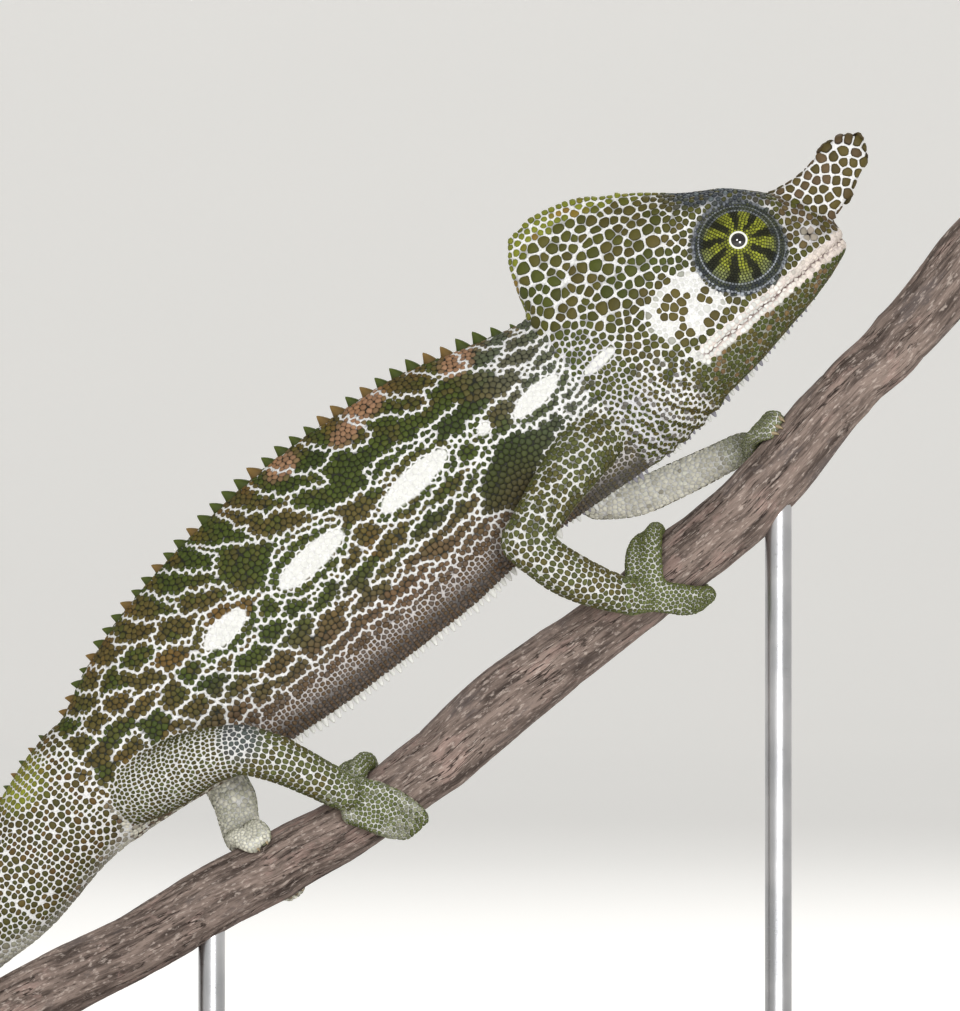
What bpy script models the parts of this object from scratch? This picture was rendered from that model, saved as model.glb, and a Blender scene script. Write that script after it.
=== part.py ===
"""A male Labord's chameleon at life size, climbing a cut length of branch on a display stand.

Lengths are in millimetres and are turned to metres when a mesh is made. The animal faces +X
with +Z up, and its right side faces -Y. Its head and trunk are measured in a body frame that
is pitched up: "along" runs from the tail to the snout and "rise" from the belly to the back,
both from the middle of the eyes. The feet and the tail are measured round the branch.
"""
import math

import bmesh
import bpy
import numpy as np
from mathutils import Vector

MM = 0.001
GAP = 0.3
DIAMOND = ((1, 0), (0, 1), (-1, 0), (0, -1))
DOME_SHARES = (0.5, 0.85)
MERGE = 0.002
SHARP_ANGLE = math.radians(40)

# The body frame: its pitch, and where the middle of the eyes stands above the base.
BODY_PITCH = math.radians(40)
EYES_X = 38.4
EYES_Z = 121.7

# The branch: the middle line in the plane of the animal (x, z) and the radius there.
BRANCH_LINE = [
    (-74.5, 16.3, 4.1), (-50.4, 29.2, 4.2), (-33.6, 38.2, 4.0), (-17.4, 47.3, 3.8),
    (-8.4, 52.7, 3.9), (2.4, 60.5, 3.9), (9.6, 66.9, 4.1), (16.8, 72.4, 4.0), (26.4, 79.5, 3.8),
    (34.2, 86.3, 3.8), (40.8, 92.7, 3.8), (51.0, 104.2, 3.7), (57.6, 111.0, 3.7), (69.6, 124.1, 3.5),
]
BRANCH_SIDES = 12
BRANCH_STEPS = 18
BRANCH_LUMPS = 0.16
BRANCH_WANDER = 0.3
BRANCH_WAVES = 0.09, 0.21, 0.13  # of the wander and of the two and three lumps round it

# The stand: a flat base of rounded plan and two rods up to the branch.
BASE_LENGTH = 128.0
BASE_WIDTH = 66.0
BASE_THICK = 8.0
BASE_BEVEL = 1.2
BASE_CORNER = 16.0
CORNER_STEPS = 5
ROD_RADIUS = 1.6
ROD_COLLAR_RADIUS = 4.2
ROD_COLLAR_HEIGHT = 2.4
ROD_COLLAR_PROFILE = [(1.0, 0.0), (1.0, 0.6), (0.8, 0.9)]  # shares of its radius and height
ROD_BITE = 0.4
ROD_SIDES = 12
ROD_PLACES = {"stand_rod_rear": -25.0, "stand_rod_front": 43.0}

# The torso: along, rise of the back, rise of the belly, half width.
TORSO = [
    (-25.0, 10.2, -13.4, 6.2), (-32.0, 12.1, -12.7, 6.9), (-41.0, 14.9, -11.9, 7.3),
    (-51.0, 16.2, -12.4, 7.5), (-60.0, 16.8, -12.2, 7.5), (-70.0, 16.4, -11.7, 7.2),
    (-78.0, 15.6, -10.9, 6.8), (-86.0, 14.1, -10.0, 6.3), (-93.0, 11.9, -8.9, 6.0),
    (-100.0, 8.9, -8.1, 5.7),
]
TORSO_NODES = [
    ("neck", -25.0, -33.0), ("chest", -33.0, -52.0), ("belly", -52.0, -77.0),
    ("pelvis", -77.0, -100.0),
]
TORSO_STEP = 3.9
TORSO_SIDES = 20
TORSO_WAIST = 0.45
RIDGE_SHARPNESS = 0.45
CUTTER_STEPS = 24
CUTTER_REACH = 2.0

# The head from the nape to the snout: along, (half width, rise) of five places down one side.
HEAD = [
    (-25.0, 10.2, (1.6, 9.2), (4.9, 5.0), (6.2, -1.0), (5.9, -8.5), (2.8, -12.7), -13.4),
    (-23.6, 14.2, (1.2, 13.0), (4.7, 7.0), (6.6, 0.0), (6.4, -8.5), (3.0, -12.9), -13.5),
    (-22.3, 17.2, (1.0, 16.0), (4.6, 7.8), (6.9, 0.5), (6.7, -8.5), (3.1, -12.9), -13.5),
    (-20.4, 18.8, (0.9, 17.5), (4.6, 8.2), (7.2, 1.0), (6.9, -8.5), (3.2, -12.9), -13.5),
    (-17.0, 19.0, (0.8, 17.7), (4.7, 8.6), (7.4, 1.0), (7.2, -8.2), (3.3, -12.8), -13.3),
    (-12.0, 17.7, (0.9, 16.4), (5.3, 8.5), (7.4, 1.0), (7.4, -7.5), (3.6, -12.0), -12.7),
    (-6.0, 14.0, (1.2, 13.0), (5.6, 7.5), (6.4, 1.0), (7.0, -7.0), (3.6, -11.3), -12.0),
    (-1.5, 9.9, (2.2, 9.4), (5.2, 7.0), (5.4, 1.0), (6.3, -6.6), (3.4, -10.5), -11.3),
    (3.0, 6.9, (2.8, 6.5), (4.8, 5.0), (4.6, 0.0), (5.2, -6.3), (3.0, -9.8), -10.6),
    (6.5, 3.3, (2.2, 2.9), (3.6, 1.4), (3.9, -2.4), (4.1, -6.3), (2.4, -9.0), -9.7),
    (9.0, -0.3, (1.5, -0.7), (2.6, -1.8), (3.0, -4.2), (2.9, -6.4), (1.6, -8.3), -8.8),
    (10.2, -3.7, (0.9, -4.0), (1.5, -4.6), (1.7, -5.5), (1.6, -6.6), (1.0, -7.6), -8.0),
]
HEAD_NOSE = 0.5
HEAD_RINGS = 16
HEAD_SIDES = 18

# The mouth line in the body frame, and the cut that lets the lower jaw stand alone.
MOUTH_RISE = -7.1
MOUTH_CORNER = -11.5
JAW_REAR = (-15.5, -16.0)
SLAB_REACH = 20.0

# The blade on the snout: along, upper and lower rise, half thickness. Then its cut from the head.
HORN = [
    (6.5, 3.0, -4.4, 1.8), (9.0, 2.5, -4.6, 1.5), (12.0, 2.4, -4.4, 1.1), (15.0, 2.9, -3.5, 1.0),
    (17.6, 2.9, -2.2, 0.9), (19.2, 2.0, -1.1, 0.7),
]
HORN_TIP = 0.6
HORN_FLATNESS = 0.7
HORN_SIDES = 12
HORN_RINGS = 8
HORN_CUT = [(4.4, 5.4), (12.4, -6.0)]

# The eye turrets: where their axes cross the head's middle plane, a turned profile (radius,
# height from that plane), the pocket in its top and the part of the eyeball left bare.
EYE_ROOT = (-1.0, -1.2)
TURRET_PROFILE = [
    (5.5, 4.0), (5.5, 5.3), (5.2, 6.3), (4.6, 7.2), (3.7, 8.0), (2.7, 8.6), (1.8, 9.0), (1.3, 9.1),
]
TURRET_LIP = [(1.12, 8.95), (1.35, 8.5), (1.75, 7.8), (1.65, 6.9), (1.0, 5.9)]
TURRET_SIDES = 15
EYEBALL_RADIUS = 1.4
EYEBALL_HEIGHT = 7.65
EYEBALL_SIDES = 10
EYEBALL_LATITUDES = (-62, -35, -8, 18, 44, 68)
TURRET_AIM = {"right": Vector((-0.05, -1.0, 0.27)), "left": Vector((0.22, 1.0, 0.02))}

# The crest of the back: pointed scales that get smaller over the hips and along the tail.
CREST_START = -27.5
CREST_SPACING = 2.05
CREST_HEIGHT = 1.35
CREST_LENGTH = 1.5
CREST_THICKNESS = 0.8
CREST_ROOT = 0.9
CREST_LEAN = 0.22
CREST_MARGIN = 1.0
CREST_FULL_TO = -70.0
CREST_FADE = 0.4
TAIL_CREST = (1.3, 14.2, 1.4)  # from, to, apart

# The tail: it leaves the pelvis in line, comes down on the far side of the branch and winds
# round it. Length is measured from the pelvis, and the half sizes are those at that length.
TAIL_ROOT_ALONG = -100.0
TAIL_ROOT_RISE = 0.55
TAIL_PASS = (-49.0, 44.9)
TAIL_PASS_PITCH = math.radians(52)
TAIL_LENGTH = 146.0
TAIL_GIRTH = [
    (0.0, 5.7, 8.6), (8.0, 5.4, 7.6), (17.0, 4.9, 6.9), (28.0, 4.3, 5.6), (42.0, 3.7, 4.4),
    (60.0, 3.1, 3.5), (80.0, 2.5, 2.8), (105.0, 1.8, 2.0), (130.0, 1.1, 1.2), (146.0, 0.6, 0.6),
]
TAIL_WOUND_FROM = -56.4
TAIL_TURN_GAP = 3.0
TAIL_CLEARANCE = 1.0
TAIL_SETTLE = 20.0
TAIL_BEND = 0.12
TAIL_CLOSING = 0.35
TAIL_OPENING = 0.3
TAIL_PATH_STEP = 0.5
TAIL_SIDES = 10
TAIL_STEP = 2.8
TAIL_NODE_ENDS = [15.0, 32.0, 47.0, 61.0, 75.0, 89.0, 104.0, 122.0, 146.0]

# The legs, as (x, y, z, radius): from inside the torso to the elbow or knee, and from there
# to the wrist or ankle.
LEGS = {
    "front_right": (
        [(21.5, -3.5, 99.5, 3.8), (19.0, -6.6, 96.5, 3.7), (15.4, -9.0, 91.4, 3.2),
         (12.3, -10.2, 86.4, 2.9)],
        [(12.3, -10.2, 86.4, 2.9), (17.0, -9.9, 83.0, 3.0), (21.4, -8.8, 81.0, 2.7),
         (25.2, -7.2, 79.8, 2.3)],
    ),
    "front_left": (
        [(21.5, 3.5, 99.5, 3.8), (20.2, 7.2, 97.0, 3.5), (19.8, 9.8, 93.8, 3.0),
         (21.4, 10.9, 91.3, 2.5)],
        [(21.4, 10.9, 91.3, 2.5), (26.4, 10.6, 91.9, 2.5), (33.0, 9.2, 94.8, 2.4),
         (39.0, 6.8, 97.8, 2.1)],
    ),
    "hind_right": (
        [(-34.0, -3.0, 57.0, 4.6), (-30.0, -5.6, 58.6, 4.3), (-25.6, -8.2, 60.8, 3.7),
         (-21.2, -9.4, 61.8, 3.2)],
        [(-21.2, -9.4, 61.8, 3.2), (-17.0, -9.4, 60.6, 3.0), (-12.8, -8.4, 58.6, 2.7),
         (-9.2, -6.9, 56.7, 2.5)],
    ),
    "hind_left": (
        [(-34.0, 3.0, 57.5, 4.5), (-32.8, 6.4, 60.2, 4.1), (-31.6, 9.2, 63.0, 3.4),
         (-30.4, 11.2, 65.2, 3.0)],
        [(-30.4, 11.2, 65.2, 3.0), (-27.2, 10.4, 61.8, 2.9), (-24.2, 8.0, 58.4, 2.9),
         (-22.4, 5.2, 55.4, 2.9)],
    ),
}
LIMB_NAMES = {"front": ("upper_arm", "forearm"), "hind": ("thigh", "shank")}
FOOT_NAMES = {"front": "hand", "hind": "foot"}
LIMB_OUTWARD = {"right": (0.2, -1.0, 0.3), "left": (0.2, 1.0, 0.3)}
LEG_SIDES = 8
LEG_STEPS = 5
LEG_FLATNESS = 0.92

# Each foot holds the branch at one x with a palm and two bundles of toes. A bundle's points
# are (mm along the branch, degrees round it from the near side over the top, half width).
FEET = {
    "front_right": {
        "x": 26.9, "palm": (0.2, 2, 2.5), "thick": 1.6,
        "outer": [(0.6, 6, 2.2), (2.6, 38, 2.2), (4.4, 70, 2.1), (5.4, 96, 1.8), (5.8, 112, 1.3)],
        "inner": [(0.6, -4, 1.9), (2.6, -32, 1.8), (4.3, -62, 1.7), (5.2, -84, 1.5), (5.6, -98, 1.1)],
        "toes": {"outer": 2, "inner": 3},
    },
    "front_left": {
        "x": 43.6, "palm": (-0.8, 146, 2.2), "thick": 1.4,
        "outer": [(-0.6, 152, 2.0), (0.0, 174, 2.0), (0.6, 196, 1.8), (1.0, 214, 1.6), (1.2, 226, 1.1)],
        "inner": [(-0.4, 140, 2.1), (0.6, 116, 2.2), (1.6, 92, 2.2), (2.4, 70, 2.0), (2.9, 54, 1.5)],
        "toes": {"outer": 2, "inner": 3},
    },
    "hind_right": {
        "x": -7.4, "palm": (0.6, 32, 2.6), "thick": 1.7,
        "outer": [(0.8, 22, 2.8), (2.3, 4, 2.9), (3.7, -20, 2.8), (4.7, -44, 2.4), (5.2, -62, 1.8)],
        "inner": [(0.8, 44, 1.9), (2.2, 66, 1.9), (3.4, 88, 1.8), (4.0, 108, 1.6), (4.2, 122, 1.1)],
        "toes": {"outer": 3, "inner": 2},
    },
    "hind_left": {
        "x": -20.0, "palm": (1.0, 124, 2.5), "thick": 1.6,
        "outer": [(1.0, 134, 2.3), (2.0, 160, 2.3), (2.8, 188, 2.1), (3.3, 214, 1.8), (3.6, 232, 1.3)],
        "inner": [(1.2, 116, 2.3), (1.6, 98, 2.3), (2.0, 80, 2.2), (2.4, 62, 2.0), (2.7, 48, 1.5)],
        "toes": {"outer": 3, "inner": 2},
    },
}
PALM_RISE = 0.2
PALM_SHARES = (0.0, 0.35, 0.7, 1.0)
PALM_TIP = 0.6, 0.7, 0.95  # how far on in half widths, how thick there, and its point
BUNDLE_SIDES = 7
BUNDLE_STEPS = 4
BUNDLE_SINK = 0.9
BUNDLE_TAPER = 0.8
BUNDLE_THINNING = 0.75
CLAW_LENGTH = 1.5
CLAW_RADIUS = 0.42
CLAW_DIP = 0.8
CLAW_SPREAD = 1.5

# Colour, roughness and metallic value of each finish.
FINISHES = {
    "skin_green": ((0.16, 0.19, 0.08, 1.0), 0.6, 0.0),
    "eye_glass": ((0.02, 0.018, 0.015, 1.0), 0.06, 0.0),
    "bark": ((0.29, 0.23, 0.2, 1.0), 0.85, 0.0),
    "lacquered_wood": ((0.05, 0.032, 0.024, 1.0), 0.35, 0.0),
    "brushed_steel": ((0.55, 0.55, 0.56, 1.0), 0.3, 1.0),
}


# ---------------------------------------------------------------- curves and frames

def smooth(table, steps):
    """Rows of numbers read at fractional row numbers, along a Catmull-Rom curve."""
    rows = np.array(table, float)
    last = len(rows) - 1
    steps = np.clip(np.asarray(steps, float), 0, last)
    low = np.minimum(steps.astype(int), last - 1)
    t = (steps - low)[:, None]
    before = rows[np.maximum(low - 1, 0)]
    after = rows[np.minimum(low + 2, last)]
    a, b = rows[low], rows[low + 1]
    return 0.5 * (2 * a + (b - before) * t + (2 * before - 5 * a + 4 * b - after) * t ** 2
                  + (3 * a - before - 3 * b + after) * t ** 3)


def smooth_at(table, values):
    """Rows read where their first number takes the given values. The first column rises or falls."""
    first = np.array([row[0] for row in table], float)
    order = np.argsort(first)
    steps = np.interp(values, first[order], order.astype(float))
    return smooth(table, steps)[:, 1:]


def body_point(along, rise, across=0.0):
    """A point of the body frame in the object's frame."""
    x = EYES_X + along * math.cos(BODY_PITCH) - rise * math.sin(BODY_PITCH)
    z = EYES_Z + along * math.sin(BODY_PITCH) + rise * math.cos(BODY_PITCH)
    return np.stack(np.broadcast_arrays(x, across, z), axis=-1)


def unit(vectors):
    return vectors / np.linalg.norm(vectors, axis=-1, keepdims=True)


def branch_frame(x):
    """The branch's middle, direction (rising) and radius where its middle line has this x."""
    z, radius = smooth_at(BRANCH_LINE, [x])[0]
    ahead, behind = smooth_at(BRANCH_LINE, [x + 0.5, x - 0.5])[:, 0]
    direction = unit(np.array([1.0, 0.0, ahead - behind]))
    return np.array([x, 0.0, z]), direction, radius


def around(frame, along, angle, distance):
    """A point beside the branch: 0 degrees is its near side, 90 its top and 180 its far side."""
    middle, direction, _ = frame
    top = np.array([-direction[2], 0.0, direction[0]])
    near = np.array([0.0, -1.0, 0.0])
    turn = math.radians(angle)
    outward = near * math.cos(turn) + top * math.sin(turn)
    return middle + direction * along + outward * distance, outward


# ---------------------------------------------------------------- meshes

def material_of(name):
    """The finish's material, made once."""
    found = bpy.data.materials.get(name)
    if found:
        return found
    colour, roughness, metallic = FINISHES[name]
    made = bpy.data.materials.new(name)
    made.use_nodes = True
    made.diffuse_color = colour
    shader = made.node_tree.nodes["Principled BSDF"]
    shader.inputs["Base Color"].default_value = colour
    shader.inputs["Roughness"].default_value = roughness
    shader.inputs["Metallic"].default_value = metallic
    return made


def object_from(bm, name, finish):
    """One object from a bmesh in millimetres, its faces turned outwards and shaded smooth."""
    bmesh.ops.recalc_face_normals(bm, faces=bm.faces)
    bmesh.ops.scale(bm, vec=(MM, MM, MM), verts=bm.verts)
    mesh = bpy.data.meshes.new(name)
    bm.to_mesh(mesh)
    bm.free()
    mesh.shade_smooth()
    mesh.set_sharp_from_angle(angle=SHARP_ANGLE)
    mesh.materials.append(material_of(finish))
    made = bpy.data.objects.new(name, mesh)
    bpy.context.scene.collection.objects.link(made)
    return made


def loft(rings, name, finish, closed_ends=(None, None)):
    """A closed body through rings of points. An end is closed flat, or to a given point."""
    bm = bmesh.new()
    made = [[bm.verts.new(point) for point in ring] for ring in rings]
    count = len(made[0])
    for lower, upper in zip(made[:-1], made[1:]):
        for i in range(count):
            j = (i + 1) % count
            bm.faces.new((lower[i], lower[j], upper[j], upper[i]))
    for ring, point in ((made[0], closed_ends[0]), (made[-1], closed_ends[1])):
        if point is None:
            bm.faces.new(ring)
            continue
        pole = bm.verts.new(point)
        for i in range(count):
            bm.faces.new((ring[i], ring[(i + 1) % count], pole))
    return object_from(bm, name, finish)


def tube_rings(path, ups, widths, heights, sides):
    """Oval rings square to a path: half width sideways and half height towards each up."""
    path = np.asarray(path, float)
    forward = unit(np.gradient(path, axis=0))
    ups = np.broadcast_to(np.asarray(ups, float), path.shape)
    ups = unit(ups - forward * np.sum(ups * forward, axis=1, keepdims=True))
    side = np.cross(forward, ups)
    angle = np.linspace(0, 2 * math.pi, sides, endpoint=False)
    widths = np.broadcast_to(widths, len(path))[:, None, None]
    heights = np.broadcast_to(heights, len(path))[:, None, None]
    return (path[:, None] + side[:, None] * widths * np.cos(angle)[None, :, None]
            + ups[:, None] * heights * np.sin(angle)[None, :, None]), forward


def rounded_tube(path, ups, widths, heights, sides, name, finish):
    """A tube whose two ends are domed over."""
    path = np.asarray(path, float)
    rings, forward = tube_rings(path, ups, widths, heights, sides)
    domes, poles = [], []
    for index, sign in ((0, -1.0), (-1, 1.0)):
        reach = sign * forward[index] * min(widths[index], heights[index])
        flat = rings[index] - path[index]
        domes.append([path[index] + flat * math.sqrt(1 - share ** 2) + reach * share
                      for share in DOME_SHARES])
        poles.append(path[index] + reach)
    return loft(domes[0][::-1] + list(rings) + domes[1], name, finish, closed_ends=poles)


def combine(body, other, operation):
    """Adds, or cuts away, another body, which is then dropped."""
    change = body.modifiers.new(operation.lower(), "BOOLEAN")
    change.operation = operation
    change.solver = "EXACT"
    change.use_self = True
    change.object = other
    bpy.context.view_layer.update()
    evaluated = body.evaluated_get(bpy.context.evaluated_depsgraph_get())
    result = bpy.data.meshes.new_from_object(evaluated)
    body.modifiers.clear()
    old = body.data
    body.data = result
    bpy.data.meshes.remove(old)
    used = other.data
    bpy.data.objects.remove(other)
    bpy.data.meshes.remove(used)
    tidy(body)
    return body


def tidy(body):
    """Joins points closer than two microns, such as those a cut leaves."""
    bm = bmesh.new()
    bm.from_mesh(body.data)
    bmesh.ops.remove_doubles(bm, verts=bm.verts, dist=MERGE * MM)
    bm.to_mesh(body.data)
    bm.free()


def loose_groups(bm):
    """The sets of joined vertices of a mesh, the smallest first."""
    left = set(bm.verts)
    groups = []
    while left:
        stack = [left.pop()]
        group = set(stack)
        while stack:
            for edge in stack.pop().link_edges:
                for vert in edge.verts:
                    if vert in left:
                        left.discard(vert)
                        group.add(vert)
                        stack.append(vert)
        groups.append(group)
    return sorted(groups, key=len)


def keep_largest(body):
    """Drops any crumb that a cut leaves beside the main body."""
    bm = bmesh.new()
    bm.from_mesh(body.data)
    for group in loose_groups(bm)[:-1]:
        bmesh.ops.delete(bm, geom=list(group), context="VERTS")
    bm.to_mesh(body.data)
    bm.free()


def split_bodies(body, names, middle_order):
    """Parts a mesh into its loose bodies and names them in the given order of their middles."""
    bm = bmesh.new()
    bm.from_mesh(body.data)
    middles = lambda group: middle_order(sum((v.co for v in group), Vector()) / len(group))
    for name, group in zip(names, sorted(loose_groups(bm), key=middles)):
        index = {vert: i for i, vert in enumerate(group)}
        faces = [[index[v] for v in face.verts] for face in bm.faces if face.verts[0] in index]
        mesh = bpy.data.meshes.new(name)
        mesh.from_pydata([v.co.copy() for v in group], [], faces)
        mesh.shade_smooth()
        mesh.set_sharp_from_angle(angle=SHARP_ANGLE)
        mesh.materials.append(body.data.materials[0])
        bpy.context.scene.collection.objects.link(bpy.data.objects.new(name, mesh))
    bm.free()
    old = body.data
    bpy.data.objects.remove(body)
    bpy.data.meshes.remove(old)


def slab(corners, name):
    """A thin cutter that follows corners of the body frame and runs right across it."""
    bm = bmesh.new()
    line = np.array(corners, float)
    run = unit(np.gradient(line, axis=0))
    off = np.stack([-run[:, 1], run[:, 0]], axis=1) * GAP / 2
    outline = np.concatenate([line + off, (line - off)[::-1]])
    near = [bm.verts.new(body_point(a, r, -SLAB_REACH)) for a, r in outline]
    far = [bm.verts.new(body_point(a, r, SLAB_REACH)) for a, r in outline]
    bm.faces.new(near)
    bm.faces.new(far[::-1])
    count = len(near)
    for i in range(count):
        j = (i + 1) % count
        bm.faces.new((near[i], far[i], far[j], near[j]))
    return object_from(bm, name, "bark")


# ---------------------------------------------------------------- the torso and its crests

def torso_ring(along, grow=0.0):
    """One section of the torso: an oval with a narrow ridge on the back and a fuller belly."""
    back, under, half = smooth_at(TORSO, [along])[0]
    back, under, half = back + grow, under - grow, half + grow
    waist = under + (back - under) * TORSO_WAIST
    angle = np.linspace(0, 2 * math.pi, TORSO_SIDES, endpoint=False)
    c, s = np.cos(angle), np.sin(angle)
    sharp = 1 + RIDGE_SHARPNESS * np.maximum(s, 0)
    across = half * np.sign(c) * np.abs(c) ** sharp
    rise = waist + np.where(s > 0, (back - waist) * s, (waist - under) * s)
    return body_point(along, rise, across)


def torso_part(name, start, end, grow=0.0):
    steps = max(2, round(abs(end - start) / TORSO_STEP))
    places = np.linspace(start - GAP / 2, end + GAP / 2, steps + 1)
    return loft([torso_ring(place, grow) for place in places], name, "skin_green")


def spike(root, up, back, height, length, thickness, name):
    """One scale of a crest: a pyramid on a diamond foot inside the body, its tip leaning back."""
    side = np.cross(up, back)
    spread = 1 + CREST_ROOT / height
    foot = [root - up * CREST_ROOT + (back * length * along + side * thickness * across) * spread / 2
            for along, across in DIAMOND]
    tip = root + up * height + back * length * CREST_LEAN
    return loft([foot], name, "skin_green", closed_ends=(None, tip))


def crest_places():
    """The crest scales of the torso, as (along, root, up, back, size share)."""
    along = CREST_START
    while along > TAIL_ROOT_ALONG + CREST_MARGIN:
        past_full = max(0.0, CREST_FULL_TO - along) / (CREST_FULL_TO - TAIL_ROOT_ALONG)
        share = 1.0 - CREST_FADE * past_full
        here, behind = (body_point(place, smooth_at(TORSO, [place])[0][0])
                        for place in (along, along - 1.0))
        back = unit(behind - here)
        yield along, here, np.cross([0.0, 1.0, 0.0], back), back, share
        along -= CREST_SPACING * (0.5 + 0.5 * share)


def add_crest_scale(piece, root, up, back, share):
    sizes = CREST_HEIGHT * share, CREST_LENGTH * share, CREST_THICKNESS * share
    cone = spike(root, up, back, *sizes, "crest_scale")
    combine(piece, cone, "UNION")


def build_torso():
    """The four lengths of neck and trunk, with the crest joined to each."""
    for name, start, end in TORSO_NODES:
        piece = torso_part(name, start, end)
        for along, root, up, back, share in crest_places():
            if start - CREST_MARGIN > along > end + CREST_MARGIN:
                add_crest_scale(piece, root, up, back, share)


# ---------------------------------------------------------------- the head

def head_ring(row, grow=0.0):
    """One section of the head: a closed curve through the places named for one side."""
    top, sides, bottom = row[0], np.array(row[1:11]).reshape(5, 2), row[11]
    half = np.vstack([[0.0, top + grow], sides + [grow, 0.0], [0.0, bottom - grow]])
    right = smooth(half, np.linspace(0, len(half) - 1, HEAD_SIDES // 2 + 1))
    left = right[1:-1][::-1] * [-1.0, 1.0]
    return np.vstack([right, left])


def head_row(along):
    """The numbers of one section, read smoothly between the rows of the table."""
    flat = [(row[0], row[1], *[n for pair in row[2:7] for n in pair], row[7]) for row in HEAD]
    return smooth_at(flat, [along])[0]


def head_body(name, grow=0.0, rear=HEAD[0][0] + GAP / 2):
    """The head and the throat, its rings closest together where the casque turns down."""
    steps = np.linspace(0, len(HEAD) - 1, HEAD_RINGS)
    rows = np.interp(steps, range(len(HEAD)), [row[0] for row in HEAD])
    rings = []
    for place in [rear, *rows[1:-1], HEAD[-1][0] + grow]:
        ring = head_ring(head_row(min(place, HEAD[-1][0])), grow)
        rings.append(body_point(place, ring[:, 1], ring[:, 0]))
    nose = body_point(HEAD[-1][0] + grow + HEAD_NOSE, (HEAD[-1][1] + HEAD[-1][7]) / 2)
    return loft(rings, name, "skin_green", closed_ends=(None, nose))


def horn_body(name):
    """The blade on the snout: flat sides and a rounded edge, closed at its tip."""
    along = np.linspace(HORN[0][0], HORN[-1][0], HORN_RINGS)
    rows = smooth_at(HORN, along)
    angle = np.linspace(0, 2 * math.pi, HORN_SIDES, endpoint=False)
    flat = np.sign(np.cos(angle)) * np.abs(np.cos(angle)) ** HORN_FLATNESS
    rings = []
    for place, (upper, lower, half) in zip(along, rows):
        rise = (upper + lower) / 2 + (upper - lower) / 2 * np.sin(angle)
        rings.append(body_point(place, rise, half * flat))
    tip = body_point(HORN[-1][0] + HORN_TIP, (HORN[-1][1] + HORN[-1][2]) / 2)
    return loft(rings, name, "skin_green", closed_ends=(None, tip))


def turned(profile, aim, sides, name, finish, poles=(None, None)):
    """A profile of (radius, height) turned round an axis from the root of the eyes."""
    axis = unit(np.array(aim))
    side = unit(np.cross(axis, [0.0, 0.0, 1.0]))
    up = np.cross(side, axis)
    origin = body_point(*EYE_ROOT)
    angle = np.linspace(0, 2 * math.pi, sides, endpoint=False)
    ring = np.cos(angle)[:, None] * side + np.sin(angle)[:, None] * up
    rings = [origin + axis * height + ring * radius for radius, height in profile]
    ends = [height if height is None else origin + axis * height for height in poles]
    return loft(rings, name, finish, closed_ends=ends)


def eyeball(aim, name):
    """The bare part of the eye: a small ball under the lids."""
    turns = np.radians(EYEBALL_LATITUDES)
    profile = [(EYEBALL_RADIUS * math.cos(a), EYEBALL_HEIGHT + EYEBALL_RADIUS * math.sin(a))
               for a in turns]
    poles = (EYEBALL_HEIGHT - EYEBALL_RADIUS, EYEBALL_HEIGHT + EYEBALL_RADIUS)
    turned(profile, aim, EYEBALL_SIDES, name, "eye_glass", poles)


def build_head():
    """The head, its lower jaw and the blade, parted by thin cuts, and the two eyes."""
    skull = combine(head_body("skull"), horn_body("blade"), "UNION")
    combine(skull, slab(HORN_CUT, "blade_cut"), "DIFFERENCE")
    mouth = [(HORN[-1][0], MOUTH_RISE), (MOUTH_CORNER, MOUTH_RISE), JAW_REAR]
    combine(skull, slab(mouth, "mouth_cut"), "DIFFERENCE")
    split_bodies(skull, ["lower_jaw", "head", "horn"], lambda middle: middle.z)
    for side, aim in TURRET_AIM.items():
        name = f"eye_turret_{side}"
        turret = turned(TURRET_PROFILE + TURRET_LIP, aim, TURRET_SIDES, name, "skin_green")
        combine(turret, head_body("head_clearance", GAP, HEAD[0][0]), "DIFFERENCE")
        eyeball(aim, f"eye_{side}")


# ---------------------------------------------------------------- the tail

def hermite(start, end, first, last, steps):
    """A curve from start to end that leaves along first and arrives along last."""
    t = np.linspace(0, 1, steps)[:, None]
    return ((2 * t ** 3 - 3 * t ** 2 + 1) * start + (t ** 3 - 2 * t ** 2 + t) * first
            + (3 * t ** 2 - 2 * t ** 3) * end + (t ** 3 - t ** 2) * last)


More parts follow.
